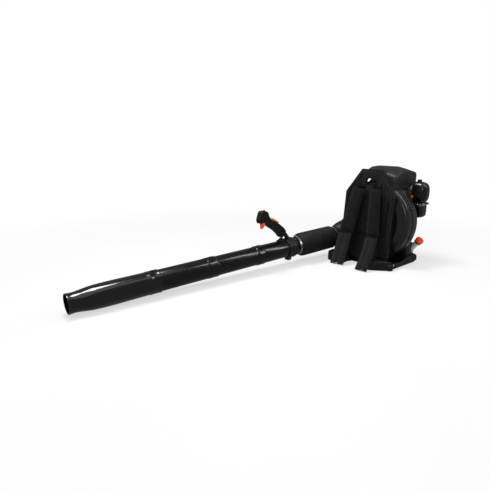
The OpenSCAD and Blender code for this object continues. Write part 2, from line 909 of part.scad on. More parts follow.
module bellows_rear() {
    neck = 42.7;
    color("#0e0f10") on_tube(0) rotate_extrude()
        polygon(concat([[neck - 2.4, 3], [neck, 3], [neck, 20]],
            ribs(22, pivot_s - 2, 14, 47, bellows_r),
            [[47, pivot_s - gap], [44, pivot_s - gap], [44, 24], [neck - 2.4, 20]]));
}

module bellows_front() {
    neck = 42.7;
    color("#0e0f10") on_tube(0) rotate_extrude()
        polygon(concat([[44, pivot_s + gap], [47, pivot_s + gap]],
            ribs(pivot_s + 2, 254, 14, 47, bellows_r),
            [[neck, 258], [neck, bellows_end_s], [neck - 2.4, bellows_end_s],
            [neck - 2.4, 256], [44, 252]]));
}

// Peg of the twist lock, on the front end of each tube
module lock_peg(s, r) {
    on_tube(s) rotate([0, 0, 90]) translate([r - 1, 0, 0]) rotate([0, 90, 0])
        cylinder(r = 3.5, h = 4.5);
}

// Slot in a collar that lets the peg turn through the locking twist
module lock_slot(s, inner) {
    half = 4.2;
    on_tube(s) rotate([0, 0, 90 - 26]) rotate_extrude(angle = 32)
        translate([inner - 1, -half]) square([8, 2 * half]);
}

module swivel_tube() {
    color("#0b0b0c") {
        difference() {
            union() {
                on_tube(262) cylinder(r = 40, h = 20);
                on_tube(280) cylinder(r = tube_r, h = swivel_end_s - 280);
            }
            on_tube(256) cylinder(r = 37.5, h = 30);
            on_tube(283) cylinder(r = tube_r - tube_wall, h = 300);
        }
        difference() {
            lock_peg(swivel_end_s - lug_s, tube_r);
            on_tube(283) cylinder(r = tube_r - 0.5, h = 300);
        }
    }
}

// Tube with a collar that turns on the end of the tube behind it
module socket_tube(s0, joint_s, s1, collar_inner, body_r) {
    difference() {
        union() {
            on_tube(s0) cylinder(r = collar_inner + 3, h = joint_s - s0 + 8);
            on_tube(joint_s + 4) cylinder(r = body_r, h = s1 - joint_s - 4);
        }
        on_tube(s0 - 1) cylinder(r = collar_inner, h = joint_s - s0 + 2);
        on_tube(joint_s) cylinder(r = body_r - tube_wall - 1, h = s1 - joint_s + 1);
        lock_slot(joint_s - lug_s, collar_inner);
    }
    difference() {
        lock_peg(s1 - lug_s, body_r);
        on_tube(joint_s) cylinder(r = body_r - 0.5, h = s1 - joint_s + 1);
    }
}

module middle_tube() {
    color("#0b0b0c")
        socket_tube(middle_s, swivel_end_s + gap, middle_end_s, tube_r + gap, tube_r);
}

module front_tube() {
    color("#0b0b0c")
        socket_tube(front_s, middle_end_s + gap, front_end_s, tube_r + gap, front_tube_r);
}

// The nozzle swells after its collar, narrows to a neck and flares at the mouth
module nozzle() {
    joint_s = front_end_s + gap;
    collar = front_tube_r + gap;
    outer = [[collar + 3.2, nozzle_s], [collar + 3.2, joint_s + 6], [45.5, joint_s + 12],
        [46, 1130], [46.5, 1190], [46, 1240], [44.5, 1275], [41.5, 1300], [38.8, 1320],
        [37.4, 1336], [37.4, 1346], [38.5, tube_length]];
    inner = [[mouth_r, tube_length], [mouth_r, 1338], [mouth_r, 1320], [38, 1280], [42, 1200],
        [42.5, 1130], [41.5, joint_s], [collar, joint_s], [collar, nozzle_s]];
    color("#070708") difference() {
        on_tube(0) rotate_extrude() polygon(concat(outer, inner));
        lock_slot(joint_s - lug_s - gap, collar);
    }
}

// ---- Control handle ----

// Clamp ring round the swivel tube, its two legs up to the grip, and the bolt lug
module handle_clamp() {
    color("#101011") {
        difference() {
            union() {
                on_tube(295) cylinder(r = 48, h = 53);
                prism_x(rounded([[-409, 112], [-374, 112], [-374, 136], [-398, 166],
                    [-409, 166]], 3), handle_x - grip_half, handle_x + grip_half);
                prism_x(rounded([[-444, 112], [-420, 112], [-420, 142], [-430, 146],
                    [-444, 134]], 3), handle_x - grip_half, handle_x + grip_half);
                prism_x(rounded([[-450, 120], [-408, 120], [-408, 136], [-450, 136]], 3),
                    handle_x - grip_half, handle_x + grip_half);
                block([handle_x - 9, -392, 26], [handle_x + 9, -362, 50]);
            }
            on_tube(280) cylinder(r = tube_r + gap, h = 130);
            block([handle_x - 1.5, -420, 20], [handle_x + 1.5, -340, 52]);
            rod_x([handle_x - 20, -377, 34], 3.2, 40);
        }
    }
    color("#8d9094") {
        rod_x([handle_x - 15, -377, 34], 3, 30);
        rod_x([handle_x - 13.5, -377, 34], 5.5, 4.2);
        rod_x([handle_x + 9.3, -377, 34], 7, 5);
    }
}

// Side outline of the grip and its head, as [y, z]
grip_outline = [[-409.5, 167], [-409.5, 181], [-429, 199], [-453, 216], [-480, 232],
    [-513, 247], [-521, 262], [-528, 280], [-542, 288], [-566, 289], [-576, 281],
    [-582, 252], [-580, 238], [-571, 231], [-558, 236], [-535, 230], [-524, 214],
    [-513, 207], [-486, 191], [-459, 169], [-446, 154], [-433, 147]];
grip_rounding = [3, 8, 30, 30, 30, 8, 8, 8, 10, 8, 8, 10, 5, 5, 4, 6, 4, 10, 20, 15, 15, 3];

module grip_solid(x0, x1) {
    prism_x(rounded(grip_outline, grip_rounding, 4), x0, x1);
}

// Space inside the grip for the trigger, lever, button and switch
module grip_hollow() {
    block([handle_x - 9.5, -573, 222], [handle_x + 9.5, -534, 272]);
    prism_x([[-534, 244], [-534, 262], [-519, 262], [-486, 244], [-454, 224], [-440, 208],
        [-448, 196], [-484, 214], [-505, 226]], handle_x - 8, handle_x + 8);
    translate([handle_x, -520.3, 254.8]) rotate([-65, 0, 0]) cylinder(r = 5.3, h = 20, center = true);
    rod_x([handle_x - 10.5, -506, 246], 2.3, 21);
    block([handle_x - 5.5, -556, 268], [handle_x + 5.5, -536, 300]);
    rod_x([handle_x - 11, -556, 244], 2.6, 22);
}

module handle_shell_right() {
    color("#0d0d0e") difference() {
        grip_solid(handle_x - grip_half, handle_x);
        grip_hollow();
    }
}

module handle_shell_left() {
    color("#0d0d0e") difference() {
        grip_solid(handle_x, handle_x + grip_half);
        grip_hollow();
    }
}

module throttle_trigger() {
    color("#f05500") difference() {
        union() {
            prism_x(rounded([[-564, 241], [-541, 241], [-540, 222], [-546, 206], [-552, 206],
                [-562, 226]], [5, 3, 6, 2, 2, 6]), handle_x - 8, handle_x + 8);
            rod_x([handle_x - 10.8, -556, 244], 2.5, 21.6);
            rod_x([handle_x - 8, -556, 244], 7, 16);
        }
    }
}

module lockout_lever() {
    color("#e8962a") {
        prism_x(rounded([[-508, 243], [-503, 250], [-480, 239], [-452, 222], [-454, 216],
            [-482, 232]], [2, 3, 10, 2, 2, 10]), handle_x - 7, handle_x + 7);
        rod_x([handle_x - 7, -506, 246], 3.6, 14);
        rod_x([handle_x - 10.2, -506, 246], 2.2, 20.4);
    }
}

module cruise_button() {
    color("#e8962a") translate([handle_x, -520.3, 254.8]) rotate([-65, 0, 0])
        cylinder(r = 5, h = 10, center = true);
}

module stop_switch() {
    color("#e2601a") block([handle_x - 5, -549, 276], [handle_x + 5, -541, 292]);
}

base_tray();
back_plate();
back_pad();
rubber_mounts();
shoulder_pad_right();
shoulder_pad_left();
lower_strap_right();
lower_strap_left();
strap_hardware();
volute_front();
volute_rear();
intake_grille();
impeller();
housing_screws();
outlet_elbow();
crankcase_front();
crankcase_rear();
crankshaft();
main_bearings();
flywheel();
engine_cylinder();
piston();
connecting_rod();
spark_plug();
plug_boot();
ignition_coil();
muffler();
carb_insulator();
carburettor();
throttle_lever();
choke_lever();
primer_bulb();
air_cleaner_base();
air_filter();
air_cleaner_cover();
air_cleaner_knob();
engine_cover();
starter_housing();
starter_pulley();
starter_rope();
starter_grip();
fuel_tank();
fuel_cap();
fuel_line();
elbow_clamp();
bellows_rear();
bellows_front();
bellows_clamp();
swivel_tube();
middle_tube();
front_tube();
nozzle();
handle_clamp();
handle_shell_right();
handle_shell_left();
throttle_trigger();
lockout_lever();
cruise_button();
stop_switch();
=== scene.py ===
import math

import bmesh
import bpy
import numpy as np
from mathutils import Matrix, Vector


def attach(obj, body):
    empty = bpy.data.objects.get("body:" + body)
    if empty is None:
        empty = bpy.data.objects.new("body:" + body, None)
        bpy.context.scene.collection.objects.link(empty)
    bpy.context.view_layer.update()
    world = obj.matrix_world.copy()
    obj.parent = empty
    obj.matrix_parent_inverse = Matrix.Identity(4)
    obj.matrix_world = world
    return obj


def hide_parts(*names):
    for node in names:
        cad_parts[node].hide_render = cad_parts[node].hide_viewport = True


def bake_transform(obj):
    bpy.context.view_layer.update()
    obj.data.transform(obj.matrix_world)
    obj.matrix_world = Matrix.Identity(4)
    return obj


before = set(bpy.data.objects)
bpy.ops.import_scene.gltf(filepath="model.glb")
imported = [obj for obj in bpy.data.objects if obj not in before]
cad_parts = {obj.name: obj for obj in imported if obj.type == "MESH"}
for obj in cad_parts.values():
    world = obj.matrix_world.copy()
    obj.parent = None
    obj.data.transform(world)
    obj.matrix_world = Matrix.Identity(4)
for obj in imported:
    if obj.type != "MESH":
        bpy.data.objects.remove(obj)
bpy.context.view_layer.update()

# Sizes below are in millimetres, in the frame's own axes; MM turns them into metres.
MM = 0.001

# ---------------------------------------------------------------- driving places

FAN_Z = 221
SCROLL_R = 158
SCROLL_GROWTH = 50
VOLUTE_FRONT_Y = -42
VOLUTE_REAR_Y = 58
SCREW_ANGLES = (-60, -20, 20, 60, 100, 140)
PLATE_Y = -87
PLATE_LEAN = math.radians(5.3)
ELBOW_END = Vector((-198, -60, 102))
TUBE_DOWN = math.radians(2.32)
TUBE_OUT = math.radians(4.5)
TUBE_FRAME = (Matrix.Translation(ELBOW_END) @ Matrix.Rotation(-TUBE_OUT, 4, "Z")
              @ Matrix.Rotation(math.pi / 2 + TUBE_DOWN, 4, "X"))
PLATE_FRAME = Matrix.Translation((0, PLATE_Y, 0)) @ Matrix.Rotation(-PLATE_LEAN, 4, "X")
PIVOT_S = 118
SPLIT_Y = 8
HANDLE_X = -224


def along_tube(s):
    """Point on the blow tube's axis, s mm from the elbow."""
    return TUBE_FRAME @ Vector((0, 0, s))


# ---------------------------------------------------------------- materials

class Graph:
    """A material whose nodes are added one by one."""

    def __init__(self, name):
        self.material = bpy.data.materials.new(name)
        self.material.use_nodes = True
        self.tree = self.material.node_tree
        self.shader = self.tree.nodes["Principled BSDF"]
        self.coords = self.tree.nodes.new("ShaderNodeTexCoord").outputs["Object"]

    def node(self, kind, **settings):
        made = self.tree.nodes.new(kind)
        for key, value in settings.items():
            setattr(made, key, value)
        return made

    def link(self, a, b):
        self.tree.links.new(a, b)

    def noise(self, scale, detail=3.0, stretch=(1, 1, 1)):
        mapping = self.node("ShaderNodeMapping")
        mapping.inputs["Scale"].default_value = stretch
        self.link(self.coords, mapping.inputs["Vector"])
        made = self.node("ShaderNodeTexNoise")
        made.inputs["Scale"].default_value = scale
        made.inputs["Detail"].default_value = detail
        self.link(mapping.outputs["Vector"], made.inputs["Vector"])
        return made.outputs["Fac"]

    def wave(self, scale, direction, distortion=0.0):
        made = self.node("ShaderNodeTexWave", bands_direction=direction)
        made.inputs["Scale"].default_value = scale
        made.inputs["Distortion"].default_value = distortion
        self.link(self.coords, made.inputs["Vector"])
        return made.outputs["Fac"]

    def ramp(self, value, low, high, start=0.3, end=0.7):
        made = self.node("ShaderNodeValToRGB")
        made.color_ramp.elements[0].position = start
        made.color_ramp.elements[1].position = end
        made.color_ramp.elements[0].color = (*low, 1)
        made.color_ramp.elements[1].color = (*high, 1)
        self.link(value, made.inputs["Fac"])
        return made.outputs["Color"]

    def spread(self, value, low, high):
        made = self.node("ShaderNodeMapRange")
        made.inputs["From Min"].default_value = 0.3
        made.inputs["From Max"].default_value = 0.7
        made.inputs["To Min"].default_value = low
        made.inputs["To Max"].default_value = high
        self.link(value, made.inputs["Value"])
        return made.outputs["Result"]

    def blend_math(self, operation, a, b):
        made = self.node("ShaderNodeMath", operation=operation)
        self.link(a, made.inputs[0])
        self.link(b, made.inputs[1])
        return made.outputs[0]

    def bump(self, height, distance, strength=1.0, under=None):
        made = self.node("ShaderNodeBump")
        made.inputs["Distance"].default_value = distance
        made.inputs["Strength"].default_value = strength
        self.link(height, made.inputs["Height"])
        if under:
            self.link(under, made.inputs["Normal"])
        return made.outputs["Normal"]

    def finish(self, colour=None, roughness=None, normal=None, **constants):
        if colour:
            self.link(colour, self.shader.inputs["Base Color"])
        if roughness:
            self.link(roughness, self.shader.inputs["Roughness"])
        if normal:
            self.link(normal, self.shader.inputs["Normal"])
        for key, value in constants.items():
            self.shader.inputs[key.replace("_", " ")].default_value = value
        return self.material


def shade(colour, factor):
    return tuple(c * factor for c in colour)


def plastic(name, colour, rough, grain=900.0, grain_depth=0.00012, coat=0.0, mottling=0.25,
            specular=0.5):
    """Moulded plastic: fine grain, faint mottling and slightly uneven gloss."""
    g = Graph(name)
    cloud = g.noise(14.0, 4.0)
    scuffs = g.noise(60.0, 6.0, (1, 1, 0.35))
    return g.finish(
        g.ramp(cloud, shade(colour, 1 - mottling), shade(colour, 1 + mottling)),
        g.spread(scuffs, rough * 0.8, min(1.0, rough * 1.22)),
        g.bump(g.noise(grain, 2.0), grain_depth),
        Coat_Weight=coat, Coat_Roughness=0.06, Specular_IOR_Level=specular)


def rubber(name, colour, rough=0.72):
    g = Graph(name)
    dust = g.noise(22.0, 6.0)
    return g.finish(
        g.ramp(dust, shade(colour, 0.8), shade(colour, 1.5), 0.35, 0.75),
        g.spread(g.noise(90.0, 3.0), rough * 0.9, min(1.0, rough * 1.15)),
        g.bump(g.noise(700.0, 3.0), 0.0002), Specular_IOR_Level=0.3)


def metal(name, colour, rough, stretch=(1, 1, 1), cast=0.0):
    """Bare metal: stretch draws out the brushing, and cast gives a sand-cast skin."""
    g = Graph(name)
    fine = g.noise(320.0, 4.0, stretch)
    return g.finish(
        g.ramp(g.noise(30.0, 5.0), shade(colour, 0.8), shade(colour, 1.12)),
        g.spread(fine, rough * 0.75, min(1.0, rough * 1.3)),
        g.bump(g.noise(380.0, 3.0) if cast else fine, 0.00025 if cast else 0.00004),
        Metallic=1.0)


def woven(name, colour, pitch, rough=0.9, contrast=0.45):
    """Plain weave: two crossing sets of threads, with fuzz and a soft sheen."""
    g = Graph(name)
    scale = 1.0 / pitch / 3.14159
    warp = g.wave(scale, "X")
    weft = g.wave(scale, "Z")
    threads = g.blend_math("MAXIMUM", warp, weft)
    fuzz = g.noise(1600.0, 2.0)
    normal = g.bump(threads, pitch * 0.22, 0.7)
    return g.finish(
        g.ramp(g.blend_math("MULTIPLY", threads, g.noise(45.0, 4.0)),
               shade(colour, 1 - contrast), shade(colour, 1 + contrast), 0.15, 0.6),
        g.spread(g.noise(110.0, 3.0), rough * 0.92, 1.0),
        g.bump(fuzz, 0.00015, 0.5, normal),
        Sheen_Weight=0.06, Sheen_Roughness=0.45, Specular_IOR_Level=0.15)


def ribbed_web(name, colour, pitch):
    """Webbing: ribs that run down the strap, crossed by fine picks."""
    g = Graph(name)
    ribs = g.wave(1.0 / pitch / 3.14159, "X")
    picks = g.wave(3.0 / pitch / 3.14159, "Z")
    normal = g.bump(ribs, pitch * 0.25, 0.6)
    return g.finish(
        g.ramp(g.blend_math("MULTIPLY", ribs, g.noise(60.0, 4.0)),
               shade(colour, 0.6), shade(colour, 1.5), 0.15, 0.65),
        g.spread(g.noise(150.0, 3.0), 0.78, 0.95),
        g.bump(picks, pitch * 0.08, 0.4, normal),
        Sheen_Weight=0.08, Sheen_Roughness=0.5, Specular_IOR_Level=0.2)


def translucent(name, colour):
    g = Graph(name)
    return g.finish(
        g.ramp(g.noise(9.0, 3.0), shade(colour, 0.9), shade(colour, 1.05)),
        g.spread(g.noise(70.0, 4.0), 0.3, 0.5),
        g.bump(g.noise(500.0, 2.0), 0.0001),
        Transmission_Weight=0.25, IOR=1.5)


SATIN = plastic("satin_black", (0.0065, 0.0067, 0.0072), 0.46, specular=0.38)
BASE_BLACK = plastic("base_black", (0.0048, 0.005, 0.0054), 0.58, specular=0.34)
HOUSING = plastic("housing_black", (0.007, 0.0076, 0.0088), 0.24, coat=0.4, specular=0.45)
GLOSS = plastic("tube_gloss", (0.0022, 0.0022, 0.0024), 0.2, 400.0, 0.000003, 0.2, 0.05, 0.42)
NOZZLE_GLOSS = plastic("nozzle_gloss", (0.002, 0.002, 0.0022), 0.15, 400.0, 0.000003, 0.5, 0.05, 0.5)
CLEANER_GLOSS = plastic("cleaner_gloss", (0.003, 0.003, 0.0033), 0.22, 500.0, 0.00004, 0.3, 0.2, 0.45)
COVER_GREY = plastic("cover_grey", (0.012, 0.013, 0.0145), 0.5, specular=0.4)
GRIP_BLACK = plastic("grip_black", (0.0045, 0.0045, 0.005), 0.5, 700.0, 0.0003, specular=0.4)
ORANGE = plastic("orange", (0.95, 0.1, 0.001), 0.42, 800.0, 0.0001, 0.1, 0.08)
AMBER = plastic("amber", (0.8, 0.26, 0.025), 0.4, 800.0, 0.0001, 0.1, 0.08)
NYLON = plastic("nylon", (0.03, 0.03, 0.033), 0.5)
TANK_WHITE = translucent("tank_white", (0.56, 0.6, 0.6))
TANK_SMOKE = plastic("tank_smoke", (0.012, 0.0125, 0.013), 0.38, coat=0.2, specular=0.45)
BELLOWS_RUBBER = rubber("bellows_rubber", (0.0052, 0.0052, 0.0056), 0.66)
BLACK_RUBBER = rubber("black_rubber", (0.006, 0.006, 0.006))
PRIMER_RUBBER = rubber("primer_rubber", (0.5, 0.46, 0.34), 0.35)
HOSE_RUBBER = rubber("hose_rubber", (0.45, 0.3, 0.08), 0.45)
STEEL = metal("steel", (0.56, 0.57, 0.58), 0.3, (1, 1, 12))
BRIGHT_STEEL = metal("bright_steel", (0.78, 0.79, 0.8), 0.18)
BLACK_STEEL = metal("black_steel", (0.02, 0.02, 0.022), 0.42)
DARK_STEEL = metal("dark_steel", (0.12, 0.115, 0.11), 0.55, cast=1.0)
CAST_ALUMINIUM = metal("cast_aluminium", (0.55, 0.56, 0.57), 0.48, cast=1.0)
YELLOW_STEEL = metal("yellow_steel", (0.62, 0.5, 0.22), 0.3)
PAD_FABRIC = woven("pad_fabric", (0.0078, 0.0083, 0.009), 0.0011)
BACK_FABRIC = woven("back_fabric", (0.004, 0.0042, 0.0046), 0.0016)
LOWER_FABRIC = ribbed_web("lower_fabric", (0.0115, 0.0125, 0.0135), 0.0018)
BINDING = ribbed_web("binding", (0.008, 0.0088, 0.01), 0.0012)
THREAD = woven("thread", (0.035, 0.037, 0.04), 0.0005)
ROPE = woven("rope", (0.55, 0.52, 0.45), 0.0012)
FOAM = rubber("foam", (0.05, 0.05, 0.04), 0.95)


# ---------------------------------------------------------------- mesh helpers

def new_piece(name, points, faces, material, smooth_angle=38.0):
    """Object from points in mm, smooth except across edges sharper than the angle."""
    mesh = bpy.data.meshes.new(name)
    mesh.from_pydata([tuple(c * MM for c in p) for p in points], [], faces)
    mesh.materials.append(material)
    piece = bpy.data.objects.new(name, mesh)
    bpy.context.scene.collection.objects.link(piece)
    tidy(piece, smooth_angle)
    return piece


def tidy(piece, smooth_angle=38.0):
    """Merges doubles, turns every face outward and sets smooth shading."""
    bm = bmesh.new()
    bm.from_mesh(piece.data)
    bmesh.ops.remove_doubles(bm, verts=bm.verts, dist=1e-6)
    bmesh.ops.recalc_face_normals(bm, faces=bm.faces)
    bm.to_mesh(piece.data)
    bm.free()
    piece.data.shade_smooth()
    piece.data.set_sharp_from_angle(angle=math.radians(smooth_angle))


def settle(piece):
    """Replaces the piece's mesh by the result of its modifiers."""
    graph = bpy.context.evaluated_depsgraph_get()
    result = bpy.data.meshes.new_from_object(piece.evaluated_get(graph))
    piece.modifiers.clear()
    piece.data = result
    return piece


def bevel(piece, width, segments=2, angle=35.0):
    """Rounds the sharp edges, by a width in mm."""
    made = piece.modifiers.new("bevel", "BEVEL")
    made.width = width * MM
    made.segments = segments
    made.limit_method = "ANGLE"
    made.angle_limit = math.radians(angle)
    made.use_clamp_overlap = True
    made.harden_normals = False
    settle(piece)
    piece.data.shade_smooth()
    piece.data.set_sharp_from_angle(angle=math.radians(50))
    return piece


def smooth_more(piece, levels=1):
    made = piece.modifiers.new("subdivide", "SUBSURF")
    made.levels = levels
    made.render_levels = levels
    return settle(piece)


def cut(piece, *cutters):
    """Takes the cutters' volume out of the piece, and deletes the cutters."""
    for cutter in cutters:
        made = piece.modifiers.new("cut", "BOOLEAN")
        made.operation = "DIFFERENCE"
        made.solver = "EXACT"
        made.object = cutter
    bpy.context.view_layer.update()
    settle(piece)
    for cutter in cutters:
        bpy.data.objects.remove(cutter)
    piece.data.shade_smooth()
    piece.data.set_sharp_from_angle(angle=math.radians(38))
    return piece


def join(name, pieces):
    """One object from several, keeping each one's material."""
    mesh = bpy.data.meshes.new(name)
    bm = bmesh.new()
    for piece in pieces:
        first = len(bm.faces)
        slot = len(mesh.materials)
        for material in piece.data.materials:
            mesh.materials.append(material)
        bm.from_mesh(piece.data)
        bm.faces.ensure_lookup_table()
        for face in bm.faces[first:]:
            face.material_index += slot
    bm.to_mesh(mesh)
    bm.free()
    whole = bpy.data.objects.new(name, mesh)
    bpy.context.scene.collection.objects.link(whole)
    for piece in pieces:
        bpy.data.objects.remove(piece)
    whole.data.shade_smooth()
    whole.data.set_sharp_from_angle(angle=math.radians(38))
    return whole


def loft(name, rings, material, caps=(True, True), closed=False, smooth_angle=38.0):
    """Skin over rings of equally many points; closed joins the last ring to the first."""
    count = len(rings[0])
    points = [p for ring in rings for p in ring]
    faces = []
    bands = len(rings) if closed else len(rings) - 1
    for i in range(bands):
        a = i * count
        b = (i + 1) % len(rings) * count
        for j in range(count):
            k = (j + 1) % count
            faces.append((a + j, a + k, b + k, b + j))
    if caps[0] and not closed:
        faces.append(tuple(range(count)))
    if caps[1] and not closed:
        faces.append(tuple((len(rings) - 1) * count + j for j in range(count)))
    return new_piece(name, points, faces, material, smooth_angle)


def revolve(name, profile, place, material, count=96, closed=True, smooth_angle=38.0):
    """Solid of revolution: profile is (radius, height) round the local Z of place."""
    rings = []
    for radius, height in profile:
        rings.append([place @ Vector((radius * math.cos(a), radius * math.sin(a), height))
                      for a in np.linspace(0, 2 * math.pi, count, endpoint=False)])
    return loft(name, rings, material, (not closed, not closed), closed, smooth_angle)


def rounded(points, radius, steps=5):
    """Closed outline whose corners are arcs; radius is one number or one per corner."""
    result = []
    count = len(points)
    for i, point in enumerate(points):
        b = Vector(point)
        a = Vector(points[i - 1])
        c = Vector(points[(i + 1) % count])
        r = radius[i] if isinstance(radius, (list, tuple)) else radius
        u = (a - b).normalized()
        v = (c - b).normalized()
        half = math.acos(max(-1.0, min(1.0, u.dot(v)))) / 2
        if r < 0.01 or half > 1.55:
            result.append(b)
            continue
        r = min(r, 0.49 * math.tan(half) * min((a - b).length, (c - b).length))
        centre = b + (u + v).normalized() * r / math.sin(half)
        start = b + u * r / math.tan(half)
        end = b + v * r / math.tan(half)
        for k in range(steps + 1):
            arm = start + (end - start) * k / steps - centre
            result.append(centre + arm.normalized() * r)
    return result


def resample(points, count):
    """The same closed outline with evenly spaced points."""
    loop = [Vector(p) for p in points] + [Vector(points[0])]
    lengths = [0.0]
    for a, b in zip(loop, loop[1:]):
        lengths.append(lengths[-1] + (b - a).length)
    result = []
    j = 0
    for i in range(count):
        target = lengths[-1] * i / count
        while lengths[j + 1] < target:
            j += 1
        share = (target - lengths[j]) / max(1e-9, lengths[j + 1] - lengths[j])
        result.append(loop[j].lerp(loop[j + 1], share))
    return result


def inward(points, distance):
    """Outline moved inward along its own normals."""
    count = len(points)
    area = sum(points[i - 1].x * points[i].y - points[i].x * points[i - 1].y for i in range(count))
    side = 1.0 if area > 0 else -1.0
    result = []
    for i, p in enumerate(points):
        t = (points[(i + 1) % count] - points[i - 1]).normalized()
        result.append(p + Vector((-t.y, t.x)) * side * distance)
    return result


def slab(name, outline, low, high, axis, material, edge=(2.0, 2.0), steps=4, place=None):
    """Outline swept from low to high along an axis, with quarter-round edges of given radii."""
    rings = []

    def ring(inset, height):
        moved = inward(outline, inset) if inset > 1e-6 else outline
        return [lift(p, height, axis, place) for p in moved]

    r0, r1 = edge
    for k in range(steps + 1):
        a = math.pi / 2 * k / steps
        if r0 > 0 or k == steps:
            rings.append(ring(r0 * (1 - math.sin(a)), low + r0 * (1 - math.cos(a))))
    for k in range(steps + 1):
        a = math.pi / 2 * k / steps
        if r1 > 0 or k == 0:
            rings.append(ring(r1 * (1 - math.cos(a)), high - r1 * (1 - math.sin(a))))
    return loft(name, rings, material)


def lift(p, height, axis, place=None):
    """2D point to 3D: the outline lies across the axis, as in the CAD model."""
    point = {"x": (height, p[0], p[1]), "y": (p[0], height, p[1]), "z": (p[0], p[1], height)}[axis]
    return place @ Vector(point) if place else Vector(point)


def box(name, low, high, material, edge=1.0, place=None):
    outline = resample_rect((low[0], low[1]), (high[0], high[1]))
    piece = slab(name, outline, low[2], high[2], "z", material, (0, 0), place=place)
    return bevel(piece, edge) if edge else piece


def resample_rect(a, b):
    return [Vector((a[0], a[1])), Vector((b[0], a[1])), Vector((b[0], b[1])), Vector((a[0], b[1]))]


def rod(name, start, end, radius, material, edge=0.5, count=32):
    """Round bar with chamfered ends between two points."""
    a, b = Vector(start), Vector(end)
    place = Matrix.Translation(a) @ (b - a).to_track_quat("Z", "Y").to_matrix().to_4x4()
    length = (b - a).length
    profile = [(0.001, 0), (radius - edge, 0), (radius - edge * 0.3, edge * 0.3), (radius, edge),
               (radius, length - edge), (radius - edge * 0.3, length - edge * 0.3),
               (radius - edge, length), (0.001, length)]
    return revolve(name, profile, place, material, count)


def sweep(name, path, radius, material, sides=12, caps=(True, True)):
    """Round bar along a list of points in mm."""
    points = [Vector(p) for p in path]
    rings = []
    normal = None
    for i, p in enumerate(points):
        t = (points[min(i + 1, len(points) - 1)] - points[max(i - 1, 0)]).normalized()
        if normal is None:
            normal = t.orthogonal().normalized()
        normal = (normal - t * normal.dot(t)).normalized()
        side = t.cross(normal)
        rings.append([p + radius * (normal * math.cos(a) + side * math.sin(a))
                      for a in np.linspace(0, 2 * math.pi, sides, endpoint=False)])
    return loft(name, rings, material, caps)


def curve_points(controls, count):
    """Smooth path through the control points."""
    p = [Vector(c) for c in controls]
    p = [p[0] * 2 - p[1]] + p + [p[-1] * 2 - p[-2]]
    spans = len(p) - 3
    result = []
    for i in range(count):
        x = spans * i / (count - 1)
        k = min(int(x), spans - 1)
        t = x - k
        a, b, c, d = p[k:k + 4]
        result.append(0.5 * ((2 * b) + (c - a) * t + (2 * a - 5 * b + 4 * c - d) * t * t
                             + (3 * b - a - 3 * c + d) * t ** 3))
    return result


def refined(node, material, width=0.8, name=None):
    """Copy of a CAD node with its flat faces merged and its edges rounded."""
    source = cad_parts[node]
    mesh = source.data.copy()
    mesh.materials.clear()
    mesh.materials.append(material)
    piece = bpy.data.objects.new(name or node + "_detail", mesh)
    bpy.context.scene.collection.objects.link(piece)
    bm = bmesh.new()
    bm.from_mesh(mesh)
    bmesh.ops.remove_doubles(bm, verts=bm.verts, dist=2e-6)
    bmesh.ops.dissolve_limit(bm, angle_limit=math.radians(1.5), verts=bm.verts, edges=bm.edges)
    bm.to_mesh(mesh)
    bm.free()
    return bevel(piece, width, 2, 30.0)


def place_piece(piece, body, *nodes, slot=None):
    """Rides on a body and stands for CAD nodes, which it hides; slot is not used."""
    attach(piece, body)
    if nodes:
        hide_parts(*nodes)
    return piece


def dress(material, *nodes):
    """Better material on CAD nodes whose shape stays."""
    for node in nodes:
        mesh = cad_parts[node].data
        mesh.materials.clear()
        mesh.materials.append(material)


# ---------------------------------------------------------------- camera, light and floor

CAMERA_AT = Vector((1155, -1872, 615)) * MM
CAMERA_YAW = math.radians(48.66)
CAMERA_PITCH = math.radians(14.26)
FOCAL_PIXELS = 429.17
FRAME_PIXELS = 490


def make_camera():
    data = bpy.data.cameras.new("camera")
    data.sensor_width = 36.0
    data.lens = data.sensor_width * FOCAL_PIXELS / FRAME_PIXELS
    data.clip_end = 50
    camera = bpy.data.objects.new("camera", data)
    camera.location = CAMERA_AT
    camera.rotation_euler = (math.pi / 2 - CAMERA_PITCH, 0, CAMERA_YAW)
    bpy.context.scene.collection.objects.link(camera)
    bpy.context.scene.camera = camera


def area_light(name, place, target, size, power):
    data = bpy.data.lights.new(name, "AREA")
    data.shape = "RECTANGLE"
    data.size, data.size_y = size
    data.energy = power
    light = bpy.data.objects.new(name, data)
    light.location = place
    light.rotation_euler = (Vector(target) - Vector(place)).to_track_quat("-Z", "Y").to_euler()
    bpy.context.scene.collection.objects.link(light)


def make_world():
    """White behind the object, and dimmer all round so that black parts stay black."""
    world = bpy.data.worlds.new("studio")
    world.use_nodes = True
    tree = world.node_tree
    background = tree.nodes["Background"]
    background.inputs["Color"].default_value = (1, 1, 1, 1)
    path = tree.nodes.new("ShaderNodeLightPath")
    level = tree.nodes.new("ShaderNodeMapRange")
    level.inputs["To Min"].default_value = 0.2
    level.inputs["To Max"].default_value = 1.0
    tree.links.new(path.outputs["Is Camera Ray"], level.inputs["Value"])
    tree.links.new(level.outputs["Result"], background.inputs["Strength"])
    bpy.context.scene.world = world
    bpy.context.scene.view_settings.view_transform = "Standard"


